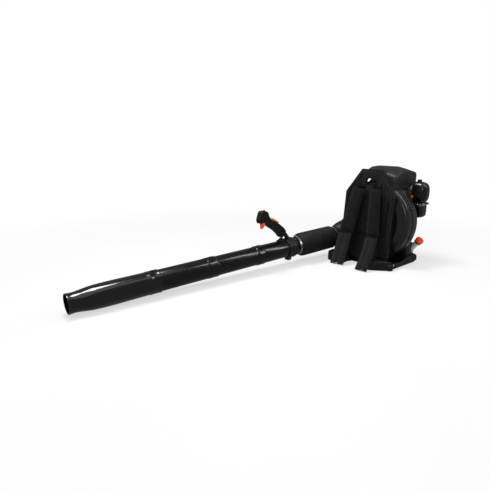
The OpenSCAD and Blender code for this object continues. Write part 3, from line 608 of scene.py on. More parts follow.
def floor_material():
    """White paper that fades into the white background away from the object."""
    g = Graph("floor_white")
    g.finish(g.ramp(g.noise(2.0, 2.0), (0.9, 0.9, 0.9), (0.94, 0.94, 0.94)), Roughness=0.9)
    far = g.node("ShaderNodeVectorMath", operation="LENGTH")
    centred = g.node("ShaderNodeVectorMath", operation="SUBTRACT")
    centred.inputs[1].default_value = (-0.1, -0.6, 0)
    g.link(g.coords, centred.inputs[0])
    g.link(centred.outputs["Vector"], far.inputs[0])
    fade = g.node("ShaderNodeMapRange", interpolation_type="SMOOTHSTEP")
    fade.inputs["From Min"].default_value = 0.9
    fade.inputs["From Max"].default_value = 2.2
    fade.inputs["To Min"].default_value = 0.62
    g.link(far.outputs["Value"], fade.inputs["Value"])
    glow = g.node("ShaderNodeEmission")
    mix = g.node("ShaderNodeMixShader")
    g.link(fade.outputs["Result"], mix.inputs["Fac"])
    g.link(g.shader.outputs["BSDF"], mix.inputs[1])
    g.link(glow.outputs["Emission"], mix.inputs[2])
    g.link(mix.outputs["Shader"], g.tree.nodes["Material Output"].inputs["Surface"])
    return g.material


def make_studio():
    """White floor that runs into white surroundings, with soft light from above."""
    make_world()
    mesh = bpy.data.meshes.new("floor")
    half = 14.0
    mesh.from_pydata([(-half, -half, 0), (half, -half, 0), (half, half, 0), (-half, half, 0)],
                     [], [(0, 1, 2, 3)])
    mesh.materials.append(floor_material())
    floor = bpy.data.objects.new("floor", mesh)
    bpy.context.scene.collection.objects.link(floor)
    floor.visible_glossy = False
    area_light("key", (-0.7, -1.0, 3.0), (-0.1, -0.5, 0.1), (1.0, 1.0), 62)
    area_light("soft", (0.4, -1.6, 3.2), (-0.1, -0.5, 0.1), (3.4, 3.4), 26)
    area_light("strip", (1.6, 0.9, 2.2), (-0.1, -0.5, 0.2), (0.4, 2.4), 24)
    area_light("fill", (1.6, -3.0, 1.2), (0, -0.2, 0.3), (1.6, 1.0), 9)


make_camera()
make_studio()


# ---------------------------------------------------------------- blow tube

def ring_profile(points, radius=0.6):
    """Profile corners softened, as (radius, height) pairs."""
    return [(p.x, p.y) for p in rounded(points, radius, 3)]


def twist_lock(s, radius):
    """Low ramp with its locking tab on top of a collar."""
    up = TUBE_FRAME @ Matrix.Translation((0, radius, s))
    return [box("lock_ramp", (-7, -2.5, -12), (7, 0.9, 10), GLOSS, 0.8, up),
            box("lock_tab", (-3.5, 0.5, -7), (3.5, 2.4, 5), GLOSS, 0.8, up)]


def collar_tube(name, body, s0, joint, s1, collar_r, tube_r, bore_collar, wall=3.5):
    """Tube section whose rear collar takes the front end of the section behind it."""
    profile = ring_profile([
        (collar_r + 0.3, s0), (collar_r + 0.5, s0 + 4), (collar_r, s0 + 6), (collar_r, joint - 6),
        (collar_r + 0.4, joint - 4), (collar_r + 0.4, joint + 2), (tube_r + 0.3, joint + 8),
        (tube_r, joint + 16), (tube_r, s1), (tube_r - wall, s1), (tube_r - wall, joint),
        (bore_collar, joint), (bore_collar, s0)])
    shell = revolve(name + "_shell", profile, TUBE_FRAME, GLOSS, 128)
    whole = join(name + "_visual", [shell] + twist_lock(joint - 17, collar_r))
    return place_piece(whole, body, name)


def make_tubes():
    swivel = revolve("swivel_shell", ring_profile([
        (40, 262), (40, 279.5), (42.5, 281.5), (42.5, 524), (40, 524), (40, 288), (37.5, 284),
        (37.5, 262)]), TUBE_FRAME, GLOSS, 128)
    place_piece(join("swivel_tube_visual", [swivel]), "swivel", "swivel_tube")
    collar_tube("middle_tube", "middle_section", 490, 524.3, 786, 44.7, 42.5, 42.8)
    collar_tube("front_tube", "front_section", 746, 786.3, 1052, 45.2, 44.0, 42.8)
    make_nozzle()


def make_nozzle():
    """Collar, a barrel that swells and narrows to a neck, and a flared mouth."""
    joint = 1052.3
    collar = [(47.0, 1012), (47.2, 1016), (46.6, 1018), (46.6, joint - 5), (47.0, joint - 3),
              (47.0, joint + 2), (45.8, joint + 12)]
    barrel = [(p.x, p.y) for p in curve_points(
        [(45.6, 1072, 0), (46, 1130, 0), (46.5, 1190, 0), (46, 1240, 0), (44.5, 1275, 0),
         (41.5, 1300, 0), (38.6, 1320, 0), (37.2, 1336, 0), (37.2, 1346, 0), (38.2, 1356, 0)], 48)]
    lip = [(38.6, 1359), (38.6, 1361.4), (38.0, 1362), (35.6, 1362), (35.0, 1361.4), (35, 1338)]
    inside = [(35.4, 1318), (38, 1280), (42, 1200), (42.5, 1130), (41.5, joint), (44.3, joint),
              (44.3, 1012)]
    shell = revolve("nozzle_shell", collar + barrel + lip + inside, TUBE_FRAME, NOZZLE_GLOSS, 160)
    whole = join("nozzle_visual", [shell] + twist_lock(joint - 17, 46.6))
    place_piece(whole, "nozzle_section", "nozzle")


def bellows_wave(s0, s1, low, high, pitch):
    """Rounded corrugations between two stations."""
    count = int(round((s1 - s0) / pitch))
    result = []
    for i in range(count * 10 + 1):
        phase = i / 10
        crest = 0.5 - 0.5 * math.cos(2 * math.pi * phase)
        result.append((low + (high - low) * crest ** 0.7, s0 + (s1 - s0) * phase / count))
    return result


def make_bellows():
    """Two ribbed halves that meet at the pivot."""
    rear = [(42.7, 3), (42.7, 17), (44.5, 19), (51.5, 21.5), (56, 26), (57.8, 32), (57.8, 40)]
    rear += bellows_wave(44, 116, 54.6, 57.8, 14.4) + [(54.8, PIVOT_S)]
    front = [(54.8, PIVOT_S)] + bellows_wave(120, 234, 54.6, 57.8, 14.25)
    front += [(57.4, 238), (56.4, 243), (53.8, 248.5), (49.5, 253.5), (45, 257.5), (42.7, 261),
              (42.7, 278)]
    for name, node, profile, pair, ends in (
            ("bellows_rear_visual", "bellows_rear", rear, ("frame", "bellows_link"), (16, PIVOT_S - 2)),
            ("bellows_front_visual", "bellows_front", front, ("bellows_link", "tube_root"),
             (PIVOT_S + 2, 254))):
        inner = [(r - 2.4, s) for r, s in reversed(profile)]
        piece = revolve(name, profile + inner, TUBE_FRAME, BELLOWS_RUBBER, 112)
        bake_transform(piece)
        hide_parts(node)


def hose_clamp(name, node, s, body):
    """Worm-drive clamp: slotted band, housing and screw."""
    band = revolve("band", ring_profile([(43.0, s), (44.3, s), (44.3, s + 10), (43.0, s + 10)], 0.3),
                   TUBE_FRAME, STEEL, 128)
    top = TUBE_FRAME @ Matrix.Translation((0, 44.2, s))
    parts = [band, box("housing", (-8, 0, 0.6), (7, 5.4, 9.4), STEEL, 1.2, top),
             box("band_tail", (6, -0.4, 1), (15, 0.9, 9), STEEL, 0.3, top)]
    axis = [top @ Vector((x, 2.6, 5)) for x in (-13, 9)]
    parts.append(rod("worm", axis[0], axis[1], 2.6, BRIGHT_STEEL, 0.5, 24))
    parts.append(rod("head", top @ Vector((-14.5, 2.6, 5)), top @ Vector((-10, 2.6, 5)), 3.6,
                     BRIGHT_STEEL, 0.6, 6))
    place_piece(join(name, parts), body, node)


make_tubes()
make_bellows()
hose_clamp("elbow_clamp_visual", "elbow_clamp", 4, "frame")
hose_clamp("bellows_clamp_visual", "bellows_clamp", 264, "tube_root")


# ---------------------------------------------------------------- control handle

GRIP_OUTLINE = [(-409.5, 167), (-409.5, 181), (-429, 199), (-453, 216), (-480, 232), (-513, 247),
                (-521, 262), (-528, 280), (-542, 288), (-563, 289.5), (-572, 282), (-582.5, 252),
                (-580, 238), (-571, 231), (-558, 236), (-535, 230), (-524, 214), (-513, 207),
                (-486, 191), (-459, 169), (-446, 154), (-433, 147)]
GRIP_ROUNDING = [3, 8, 30, 30, 30, 8, 8, 8, 10, 8, 8, 10, 5, 5, 4, 6, 4, 10, 20, 15, 15, 3]


def tilted_button(name, radius, low, high, material):
    place = (Matrix.Translation((HANDLE_X, -520.3, 254.8)) @ Matrix.Rotation(math.radians(-65), 4, "X"))
    e = 1.2 if high < 10 else 0.0
    profile = [(0.001, low), (radius, low), (radius, high - e), (radius - e * 0.35, high - e * 0.3),
               (radius - e, high), (0.001, high + e * 0.3)]
    return revolve(name, profile, place, material, 40)


def melted(piece, voxel, rounds):
    """Rebuilds a solid from small cells and smooths it, which rounds every edge."""
    made = piece.modifiers.new("remesh", "REMESH")
    made.mode = "VOXEL"
    made.voxel_size = voxel * MM
    soft = piece.modifiers.new("soften", "SMOOTH")
    soft.factor = 0.5
    soft.iterations = rounds
    settle(piece)
    piece.data.shade_smooth()
    return piece


def grip_cutters():
    return [
        box("cut_trigger", (HANDLE_X - 9, -573, 215), (HANDLE_X + 9, -535, 262), GRIP_BLACK, 0),
        slab("cut_lever", [Vector(p) for p in ((-514, 236), (-514, 262), (-486, 256), (-444, 228),
                                             (-440, 208), (-448, 196), (-484, 214), (-505, 226))],
             HANDLE_X - 7.8, HANDLE_X + 7.8, "x", GRIP_BLACK, (0, 0)),
        tilted_button("cut_button", 5.4, -9, 12, GRIP_BLACK),
        box("cut_switch", (HANDLE_X - 5.5, -556, 282), (HANDLE_X + 5.5, -536, 300), GRIP_BLACK, 0),
    ]


def make_grip():
    """Well rounded grip with shallow finger ribs, split along its seam into two halves."""
    outline = resample(rounded(GRIP_OUTLINE, GRIP_ROUNDING, 6), 220)
    for name, node, side in (("handle_right_visual", "handle_shell_right", -1),
                             ("handle_left_visual", "handle_shell_left", 1)):
        whole = melted(slab("grip", outline, HANDLE_X - 13.2, HANDLE_X + 13.2, "x", GRIP_BLACK, (0, 0)),
                       1.3, 14)
        far = HANDLE_X - side * 30
        low, high = sorted((HANDLE_X + side * 0.12, far))
        other = box("other_half", (low, -600, 130), (high, -400, 310), GRIP_BLACK, 0)
        parts = [cut(whole, other, *grip_cutters())]
        for k in range(6):
            centre = Vector((HANDLE_X + side * 12.3, -500 + 11.5 * k, 222 - 8.1 * k))
            along = Vector((0, 5, 9)) * (1 - 0.04 * k)
            parts.append(sweep("rib", [centre - along, centre, centre + along], 0.9, GRIP_BLACK, 10))
        place_piece(join(name, parts), "handle", node)


def make_trigger():
    outline = resample(rounded([(-563.5, 241), (-541, 241), (-540, 225), (-557, 206.4), (-561.5, 206.4),
                                (-563.5, 222)], [5, 3, 5, 2, 2, 6]), 90)
    blade = slab("trigger_blade", outline, HANDLE_X - 7.6, HANDLE_X + 7.6, "x", ORANGE, (2.4, 2.4), 5)
    pin = rod("trigger_pin", (HANDLE_X - 10.6, -556, 244), (HANDLE_X + 10.6, -556, 244), 2.4, STEEL)
    boss = rod("trigger_boss", (HANDLE_X - 7.8, -556, 244), (HANDLE_X + 7.8, -556, 244), 6.6, ORANGE)
    ribs = [rod("trigger_rib", (HANDLE_X - 6, -543.4 - 4.1 * k, 222 - 4.6 * k),
                (HANDLE_X + 6, -543.4 - 4.1 * k, 222 - 4.6 * k), 0.8, ORANGE, 0.3, 12)
            for k in range(3)]
    place_piece(join("throttle_trigger_visual", [blade, pin, boss] + ribs), "trigger",
                "throttle_trigger")


def make_lockout():
    outline = resample(rounded([(-507.6, 244), (-502, 252), (-479, 241.8), (-451.4, 224.6), (-453.6, 217.4),
                                (-482, 231)], [2, 4, 12, 2.5, 2, 10]), 90)
    blade = slab("lever_blade", outline, HANDLE_X - 6.8, HANDLE_X + 6.8, "x", AMBER, (2.6, 2.6), 5)
    hub = rod("lever_hub", (HANDLE_X - 6.8, -506, 246), (HANDLE_X + 6.8, -506, 246), 3.5, AMBER)
    place_piece(join("lockout_lever_visual", [blade, hub]), "lockout", "lockout_lever")


def make_handle_clamp():
    """Split ring round the tube, two legs that carry the grip, ribs and the clamp bolt."""
    ring = revolve("clamp_ring", ring_profile([
        (42.9, 295), (46.8, 295), (48, 297.5), (48, 345.5), (46.8, 348), (42.9, 348)], 0.8),
        TUBE_FRAME, SATIN, 128)
    parts = [ring]
    for s in (304, 321.5, 339):
        parts.append(revolve("clamp_rib", ring_profile([(47.6, s - 1.6), (49.2, s - 1.2),
                                                       (49.2, s + 1.2), (47.6, s + 1.6)], 0.4),
                             TUBE_FRAME, SATIN, 128))
    legs = (([(-388, 116), (-372, 122), (-374, 136), (-399, 166), (-409, 167), (-409, 156)],
             [3, 3, 8, 5, 2, 3]),
            ([(-446, 116), (-426, 116), (-424, 142), (-430, 147), (-446, 137)], [4, 3, 4, 4, 6]),
            ([(-450, 121), (-406, 121), (-406, 136), (-450, 136)], [4, 2, 3, 5]))
    for outline, corners in legs:
        shape = resample(rounded(outline, corners, 5), 80)
        half = 12.8 if outline[0][1] > 120 else 7.5
        parts.append(slab("clamp_leg", shape, HANDLE_X - half, HANDLE_X + half, "x", SATIN, (2.5, 2.5), 4))
    for side in (-1, 1):
        x0, x1 = sorted((HANDLE_X + side * 1.6, HANDLE_X + side * 9))
        shape = resample(rounded([(-392, 27), (-362, 27), (-362, 50), (-392, 50)], [7, 7, 2, 2]), 60)
        parts.append(slab("clamp_ear", shape, x0, x1, "x", SATIN, (1.2, 1.2), 3))
    parts.append(rod("bolt", (HANDLE_X - 13.4, -377, 34), (HANDLE_X + 15, -377, 34), 3, STEEL))
    parts.append(rod("nut", (HANDLE_X - 13.6, -377, 34), (HANDLE_X - 9.2, -377, 34), 5.6, STEEL, 0.6, 6))
    parts.append(rod("bolt_head", (HANDLE_X + 9.2, -377, 34), (HANDLE_X + 14.6, -377, 34), 6.8,
                     STEEL, 1.0, 32))
    place_piece(join("handle_clamp_visual", parts), "handle", "handle_clamp")


def make_handle():
    make_grip()
    make_trigger()
    make_lockout()
    make_handle_clamp()
    place_piece(tilted_button("cruise_button_visual", 5.0, -5, 5, AMBER), "cruise", "cruise_button")
    thumb = box("switch_body", (HANDLE_X - 5, -549, 282.5), (HANDLE_X + 5, -541, 291), ORANGE, 1.0)
    ridges = [box("switch_ridge", (HANDLE_X - 4, -548 + 2.4 * k, 290.4),
                  (HANDLE_X + 4, -547 + 2.4 * k, 292), ORANGE, 0.3) for k in range(3)]
    place_piece(join("stop_switch_visual", [thumb] + ridges), "stop", "stop_switch")


make_handle()


# ---------------------------------------------------------------- fan housing

def scroll_point(angle, inset):
    radius = SCROLL_R + SCROLL_GROWTH * math.sin(math.radians((180 - angle) / 3)) - inset
    a = math.radians(angle)
    return Vector((radius * math.cos(a), FAN_Z + radius * math.sin(a)))


def scroll_outline(inset, count=200):
    """Closed outline of the scroll with its outlet, as in the CAD model, softly cornered."""
    arc = [scroll_point(a, inset) for a in range(180, -91, -3)]
    outlet = rounded([arc[-1], (-160, 24 + inset), (-160, 196 - inset), arc[0]], [0, 5, 12, 0], 4)
    return resample(arc + outlet[1:-1], count)


def towards_circle(outline, radius, share):
    """Outline drawn towards a circle round the fan axis."""
    result = []
    for p in outline:
        arm = p - Vector((0, FAN_Z))
        result.append(p.lerp(Vector((0, FAN_Z)) + arm.normalized() * radius, share))
    return result


def scroll_shell(name, sign, face_y, eye, steps):
    """Half of the scroll: eye lip, stepped face, rounded rim, flange and open seam.
    sign is -1 for the front half; steps are (share towards the eye, depth) of the face."""
    rings = []

    def add(outline, y):
        rings.append([Vector((p.x, y, p.y)) for p in outline])

    inner = scroll_outline(22)
    add(towards_circle(inner, eye, 1.0), face_y - sign * 3)
    add(towards_circle(inner, eye, 1.0), face_y)
    for share, depth in steps:
        add(towards_circle(inner, eye, share), face_y - sign * depth)
    depth = 17
    for k in range(9):
        a = math.pi / 2 * k / 8
        add(scroll_outline(depth * (1 - math.sin(a))), face_y - sign * depth * (1 - math.cos(a)))
    add(scroll_outline(0), SPLIT_Y + sign * 5)
    add(scroll_outline(-2.6), SPLIT_Y + sign * 4.2)
    add(scroll_outline(-3.0), SPLIT_Y + sign * 3.4)
    add(scroll_outline(-3.0), SPLIT_Y + sign * 0.25)
    add(scroll_outline(3), SPLIT_Y + sign * 0.25)
    add(scroll_outline(3), face_y - sign * 20)
    add(scroll_outline(20), face_y - sign * 3)
    shell = loft(name + "_shell", rings, HOUSING, closed=True)
    parts = [shell]
    for angle in SCREW_ANGLES:
        p = scroll_point(angle, -1.2)
        far = SPLIT_Y + sign * 12
        parts.append(rod("lobe", (p.x, SPLIT_Y + sign * 0.3, p.y), (p.x, far, p.y), 7, HOUSING, 1.0, 32))
    return parts


def make_volute():
    front = scroll_shell("volute_front", -1, VOLUTE_FRONT_Y, 92,
                         [(0.96, -2.5), (0.92, -2.5), (0.88, 0), (0.4, 0), (0.36, -1.8), (0.3, -1.8),
                          (0.26, 0), (0.0, 0)])
    place_piece(join("volute_front_visual", front), "frame", "volute_front")
    rear = scroll_shell("volute_rear", 1, VOLUTE_REAR_Y, 24,
                        [(0.94, -2), (0.9, -2), (0.86, 0), (0.5, 0), (0.46, -3), (0.4, -3),
                         (0.36, 0), (0.0, 0)])
    for k in range(18):
        angle = -80 + 15 * k
        a = math.radians(angle)
        tip = scroll_point(angle, 24)
        start = Vector((70 * math.cos(a), FAN_Z + 70 * math.sin(a)))
        rear.append(sweep("web", [(start.x, 58.6, start.y), (tip.x, 58.6, tip.y)], 1.8, HOUSING, 8))
    place_piece(join("volute_rear_visual", rear), "frame", "volute_rear")


def make_elbow():
    """Duct from the scroll's tall outlet round to the round spigot."""
    path = curve_points([(-160, 8, 112), (-174, 6, 113), (-190, -8, 110), (-198, -32, 105),
                         (-198.2, -58, 102.1)], 30)
    rings = []
    for i, p in enumerate(path):
        t = i / (len(path) - 1)
        ahead = path[min(i + 1, len(path) - 1)] - path[max(i - 1, 0)]
        forward = ahead.normalized()
        if i == 0:
            forward = Vector((-1, 0, 0))
        if i == len(path) - 1:
            forward = (along_tube(10) - along_tube(0)).normalized()
        side = forward.cross(Vector((0, 0, 1))).normalized()
        up = side.cross(forward)
        ease = t * t * (3 - 2 * t)
        half_w = 42 + (44 - 42) * ease
        roof = 44 + 43 * (1 - t) ** 1.25
        half_h = 44 + 44 * (1 - t) ** 2.6
        power = 5.0 + (2.0 - 5.0) * ease ** 0.6
        ring = []
        for k in range(64):
            a = 2 * math.pi * k / 64
            c, s = math.cos(a), math.sin(a)
            x = math.copysign(abs(c) ** (2 / power), c) * half_w
            z = math.copysign(abs(s) ** (2 / power), s) * (roof if s > 0 else half_h)
            ring.append(p + side * x + up * z)
        rings.append(ring)
    duct = loft("elbow_duct", rings, SATIN, (True, False))
    spigot = revolve("elbow_spigot", ring_profile([(44, -3), (44, 2), (40, 3), (40, 18), (37.5, 18),
                                                   (37.5, -3)], 0.5), TUBE_FRAME, SATIN, 96)
    flange = slab("elbow_flange", resample(rounded([(-38, 20), (54, 20), (54, 199), (-38, 199)], 16), 120),
                  -164.5, -160.2, "x", SATIN, (1.2, 1.2), 3)
    parts = [duct, spigot, flange]
    for y, z in ((-30, 28), (46, 28), (-30, 191), (46, 191)):
        parts.append(rod("flange_screw", (-164.5, y, z), (-168, y, z), 4, STEEL, 0.6, 6))
    place_piece(join("outlet_elbow_visual", parts), "frame", "outlet_elbow")


make_volute()
make_elbow()


# ---------------------------------------------------------------- back plate and base

def filled(name, outline, holes, y0, y1, place, material):
    """Flat piece between y0 and y1 with holes through it; outlines are (x, z)."""
    bm = bmesh.new()
    for loop in [outline] + holes:
        verts = [bm.verts.new(place @ Vector((p[0], y0, p[1])) * MM) for p in loop]
        for a, b in zip(verts, verts[1:] + verts[:1]):
            bm.edges.new((a, b))
    bmesh.ops.triangle_fill(bm, use_beauty=True, use_dissolve=False, edges=bm.edges[:])
    made = bmesh.ops.extrude_face_region(bm, geom=bm.faces[:])
    move = (place.to_3x3() @ Vector((0, y1 - y0, 0))) * MM
    bmesh.ops.translate(bm, vec=move, verts=[v for v in made["geom"] if isinstance(v, bmesh.types.BMVert)])
    mesh = bpy.data.meshes.new(name)
    bm.to_mesh(mesh)
    bm.free()
    mesh.materials.append(material)
    piece = bpy.data.objects.new(name, mesh)
    bpy.context.scene.collection.objects.link(piece)
    tidy(piece)
    return piece


def plate_outline():
    return rounded([(-135.5, 30), (129.5, 30), (135.5, 180), (135.5, 349), (57, 463), (-57, 463),
                    (-135.5, 349)], [14, 14, 40, 16, 10, 10, 16], 6)


CARRY_HOLE = rounded([(-30, 394), (34, 394), (28, 418), (-24, 418)], 8, 6)


def wall_round(name, outline, depth0, depth1, thick, material):
    """Upstanding wall that follows a closed outline on the plate."""
    outer = resample(outline, 260)
    inner = inward(outer, thick)
    rings = [[lift(p, y, "y", PLATE_FRAME) for p in loop]
             for loop, y in ((outer, depth0), (outer, depth1), (inner, depth1), (inner, depth0))]
    return bevel(loft(name, rings, material, closed=True), 0.8, 2)


def make_plate():
    sheet = bevel(filled("plate_sheet", plate_outline(), [CARRY_HOLE], 0, 6, PLATE_FRAME, SATIN), 1.6, 3)
    rim = wall_round("plate_rim", plate_outline(), 0.5, 24, 3.2, SATIN)
    hole_lip = wall_round("hole_lip", rounded([(-33, 391), (37, 391), (31, 421), (-27, 421)], 10, 6),
                          -2.5, 12, 3.0, SATIN)
    parts = [sheet, rim, hole_lip]
    for side in (-1, 1):
        ridge = [(side * 118, 46), (side * 119, 180), (side * 119, 344), (side * 52, 440)]
        path = [PLATE_FRAME @ Vector((x, -0.8, z)) for x, z in
                [(q.x, q.y) for q in curve_points([(x, z, 0) for x, z in ridge], 40)]]
        parts.append(sweep("plate_ridge", path, 3.2, SATIN, 10))
    parts.append(box("waist_ridge", (-112, -2.4, 140), (112, 1, 146), SATIN, 1.2, PLATE_FRAME))
    for x in (-84, 0, 84):
        parts.append(box("lower_rib", (x - 2.5, -2.2, 42), (x + 2.5, 1, 138), SATIN, 1.0, PLATE_FRAME))
    place_piece(join("back_plate_visual", parts), "frame", "back_plate")


def make_base():
    """Two rounded feet, side walls that swell at the rear, deck and cross ribs."""
    parts = []
    for side in (-1, 1):
        front = [(122, -136), (152, -110)] if side > 0 else [(-150, -161), (-167, -134)]
        foot = resample(rounded([(side * 62, -92), (side * 62, -154), (side * 88, -161)] + front
                                + [(side * 171.5, -92)], [6, 10, 16, 20, 20, 4], 6), 120)
        parts.append(slab("foot", foot, 0, 45, "z", BASE_BLACK, (8, 6), 6))
        parts.append(box("foot_floor", (min(side * 62, side * 168), -96, 0.2),
                         (max(side * 62, side * 168), -78, 8), BASE_BLACK, 1.0))
        rim = [(126, 45), (62, 45), (0, 30), (-40, 29)] if side > 0 else [
            (126, 45), (62, 45), (62, 21), (-52, 21), (-52, 29)]
        wall = resample(rounded([(-112, 0), (139, 0), (139, 36)] + rim + [(-112, 33)],
                                [4, 10, 12] + [6] * len(rim) + [8], 6), 160)
        x0, x1 = sorted((side * 158, side * 172))
        side_wall = slab("side_wall", wall, x0, x1, "x", BASE_BLACK,
                         (5, 2) if side < 0 else (2, 5), 5)
        under = slab("under", [Vector((side * 138, -3)), Vector((side * 180, -3)),
                               Vector((side * 180, 26)), Vector((side * 170, 13)),
                               Vector((side * 160, 5)), Vector((side * 146, 0.6))],
                     -120, 150, "y", BASE_BLACK, (0, 0))
        parts.append(cut(side_wall, under))
    deck = box("deck", (-158.5, -80, 0.2), (158.5, 138.5, 8), BASE_BLACK, 1.2)
    rear = box("rear_wall", (-160, 133, 0.3), (160, 138.8, 44), BASE_BLACK, 2.0)
    cross = box("cross_wall", (-158, -74, 0.3), (158, -64, 28), BASE_BLACK, 2.0)
    parts += [deck, rear, cross]
    for k in range(7):
        x = -120 + 40 * k
        parts.append(box("deck_rib", (x - 1.5, -63, 7.5), (x + 1.5, 60, 11.5), BASE_BLACK, 0.6))
    for side in (-1, 1):
        parts.append(rod("rivet", (side * 171.4, -84, 27), (side * 174.2, -84, 27), 4.2, BRIGHT_STEEL,
                         1.2, 32))
    place_piece(join("base_tray_visual", parts), "frame", "base_tray")


make_plate()
make_base()


# ---------------------------------------------------------------- straps and back pad

def strap_ring(centre, across, out, width, thick, lobes, power=3.2, count=56):
    """Cross-section of a padded strap; with two lobes it has a channel down the middle."""
    ring = []
    for k in range(count):
        a = 2 * math.pi * k / count
        c, s = math.cos(a), math.sin(a)
        x = math.copysign(abs(c) ** (2 / power), c)
        z = math.copysign(abs(s) ** (2 / 2.2), s)
        dip = 1.0
        if lobes == 2:
            dip = 1 - 0.62 * math.exp(-(x / 0.17) ** 2)
        ring.append(centre + across * (x * width / 2) + out * (z * thick / 2 * dip))
    return ring


def strap_form(name, path, width_at, thick_at, lobes, material, steps=44):
    """Padded strap along a path, closed and rounded at both ends."""
    points = curve_points(path, steps)
    rings = []
    across = Vector((1, 0, 0))
    for i, p in enumerate(points):
        t = i / (steps - 1)
        heading = (points[min(i + 1, steps - 1)] - points[max(i - 1, 0)]).normalized()
        side = (across - heading * across.dot(heading)).normalized()
        out = heading.cross(side).normalized()
        end = min(t, 1 - t) * (steps - 1)
        close = min(1.0, (0.35, 0.75, 0.93, 1.0)[min(3, int(end))])
        rings.append(strap_ring(p, side, out, width_at(t) * (0.94 + 0.06 * close),
                                thick_at(t) * close, lobes))
    return loft(name, rings, material)


def inflate(piece, pressure, cap, voxel=5.0):
    """Lets a pad swell as cloth over foam: remesh, a short cloth run and a limit on the move."""
    made = piece.modifiers.new("remesh", "REMESH")
    made.mode = "VOXEL"
    made.voxel_size = voxel * MM
    settle(piece)
    before = np.array([v.co for v in piece.data.vertices])
    cloth = piece.modifiers.new("cloth", "CLOTH")
    cloth.settings.use_pressure = True
    cloth.settings.uniform_pressure_force = pressure
    cloth.settings.tension_stiffness = 25
    cloth.settings.compression_stiffness = 25
    cloth.settings.effector_weights.gravity = 0
    scene = bpy.context.scene
    for number in range(1, 21):
        scene.frame_set(number)
    graph = bpy.context.evaluated_depsgraph_get()
    after = np.array([v.co for v in piece.evaluated_get(graph).data.vertices])
    piece.modifiers.clear()
    scene.frame_set(1)
    move = after - before
    length = np.linalg.norm(move, axis=1, keepdims=True)
    move *= np.minimum(1.0, cap * MM / np.maximum(length, 1e-9))
    piece.data.vertices.foreach_set("co", (before + move).astype(np.float32).ravel())
    piece.data.update()
    smooth_more(piece)
    piece.data.shade_smooth()
    return piece


def edge_binding(name, path, width_at, offset, material):
    """Folded tape round a strap's edge: a flat bead down both sides and across the ends."""
    points = curve_points(path, 50)
    loop = []
    for sign in (1, -1):
        run = []
        for i, p in enumerate(points):
            t = i / (len(points) - 1)
            heading = (points[min(i + 1, len(points) - 1)] - points[max(i - 1, 0)]).normalized()
            side = Vector((1, 0, 0))
            side = (side - heading * side.dot(heading)).normalized()
            run.append(p + side * sign * (width_at(t) / 2 + offset))
        loop += run if sign > 0 else run[::-1]
    loop.append(loop[0])
    return sweep(name, loop, 2.0, material, 10, (False, False))


def stitches(name, path, width_at, inset, lift_by, pitch=7.0, length=4.2):
    """Row of raised stitches inside both edges of a strap, on its outer face."""
    points = curve_points(path, 120)
    parts = []
    for sign in (1, -1):
        walked = 0.0
        for i in range(6, len(points) - 6):
            step = (points[i] - points[i - 1]).length
            walked += step
            if walked < pitch:
                continue
            walked = 0.0
            t = i / (len(points) - 1)
            heading = (points[i + 1] - points[i - 1]).normalized()
            side = Vector((1, 0, 0))
            side = (side - heading * side.dot(heading)).normalized()
            out = heading.cross(side).normalized()
            if out.y > 0:
                out = -out
            centre = points[i] + side * sign * (width_at(t) / 2 - inset) + out * lift_by
            ends = [centre - heading * length / 2, centre + out * 0.5, centre + heading * length / 2]
            parts.append(sweep("stitch", ends, 0.55, THREAD, 6))
    return join(name, parts)


def make_shoulder(side_name, x_top, x_low, w):
    """Upper padded strap between its hook plate and its lower end."""
    path = [(x_top, -76.5, 369), (x_top - (x_top - x_low) * 0.3, -84.5, 310),
            (x_top - (x_top - x_low) * 0.66, -97, 225), (x_low, -107.5, 154)]
    width_at = lambda t: w * (0.83 + 0.17 * t)
    thick_at = lambda t: 13.0
    pad = strap_form("shoulder_pad", path, width_at, thick_at, 1, PAD_FABRIC)
    inflate(pad, 3.0, 2.5)
    binding = edge_binding("binding", path, width_at, -1.2, BINDING)
    seams = stitches("seams", path, width_at, 7.0, 6.9)
    whole = join("shoulder_pad_" + side_name + "_visual", [pad, binding, seams])
    return place_piece(whole, "frame", "shoulder_pad_" + side_name)


def make_lower(side_name, x_top, x_low, w, y_low):
    """Lower padded end: two stuffed ribs with a stitched channel between them."""
    path = [(x_top, -127, 150), (x_top * 0.66 + x_low * 0.34, -146, 102),
            (x_top * 0.33 + x_low * 0.67, -171, 53), (x_low, y_low + 8.5, 6)]
    width_at = lambda t: w
    thick_at = lambda t: 12.5
    pad = strap_form("lower_pad", path, width_at, thick_at, 2, LOWER_FABRIC)
    inflate(pad, 2.5, 1.8, 4.0)
    binding = edge_binding("lower_binding", path, width_at, -1.6, BINDING)
    channel = stitches("channel", path, lambda t: 12.0, 3.0, 3.6, 6.0, 3.8)
    whole = join("lower_strap_" + side_name + "_visual", [pad, binding, channel])
    return place_piece(whole, "frame", "lower_strap_" + side_name)


def make_back_pad():
    outline = resample(rounded([(-112, 150), (112, 150), (112, 326), (62, 367), (-62, 367),
                                (-112, 326)], 18, 6), 200)
    pad = slab("back_pad_form", outline, -8.0, -0.6, "y", BACK_FABRIC, (4.5, 1.0), 5, PLATE_FRAME)
    inflate(pad, 1.5, 1.5, 6.0)
    loop = [lift(p, -6.0, "y", PLATE_FRAME) for p in inward(outline, 9)]
    piping = sweep("back_piping", loop + [loop[0]], 1.5, BINDING, 8, (False, False))
    whole = join("back_pad_visual", [pad, piping])
    place_piece(whole, "frame", "back_pad")


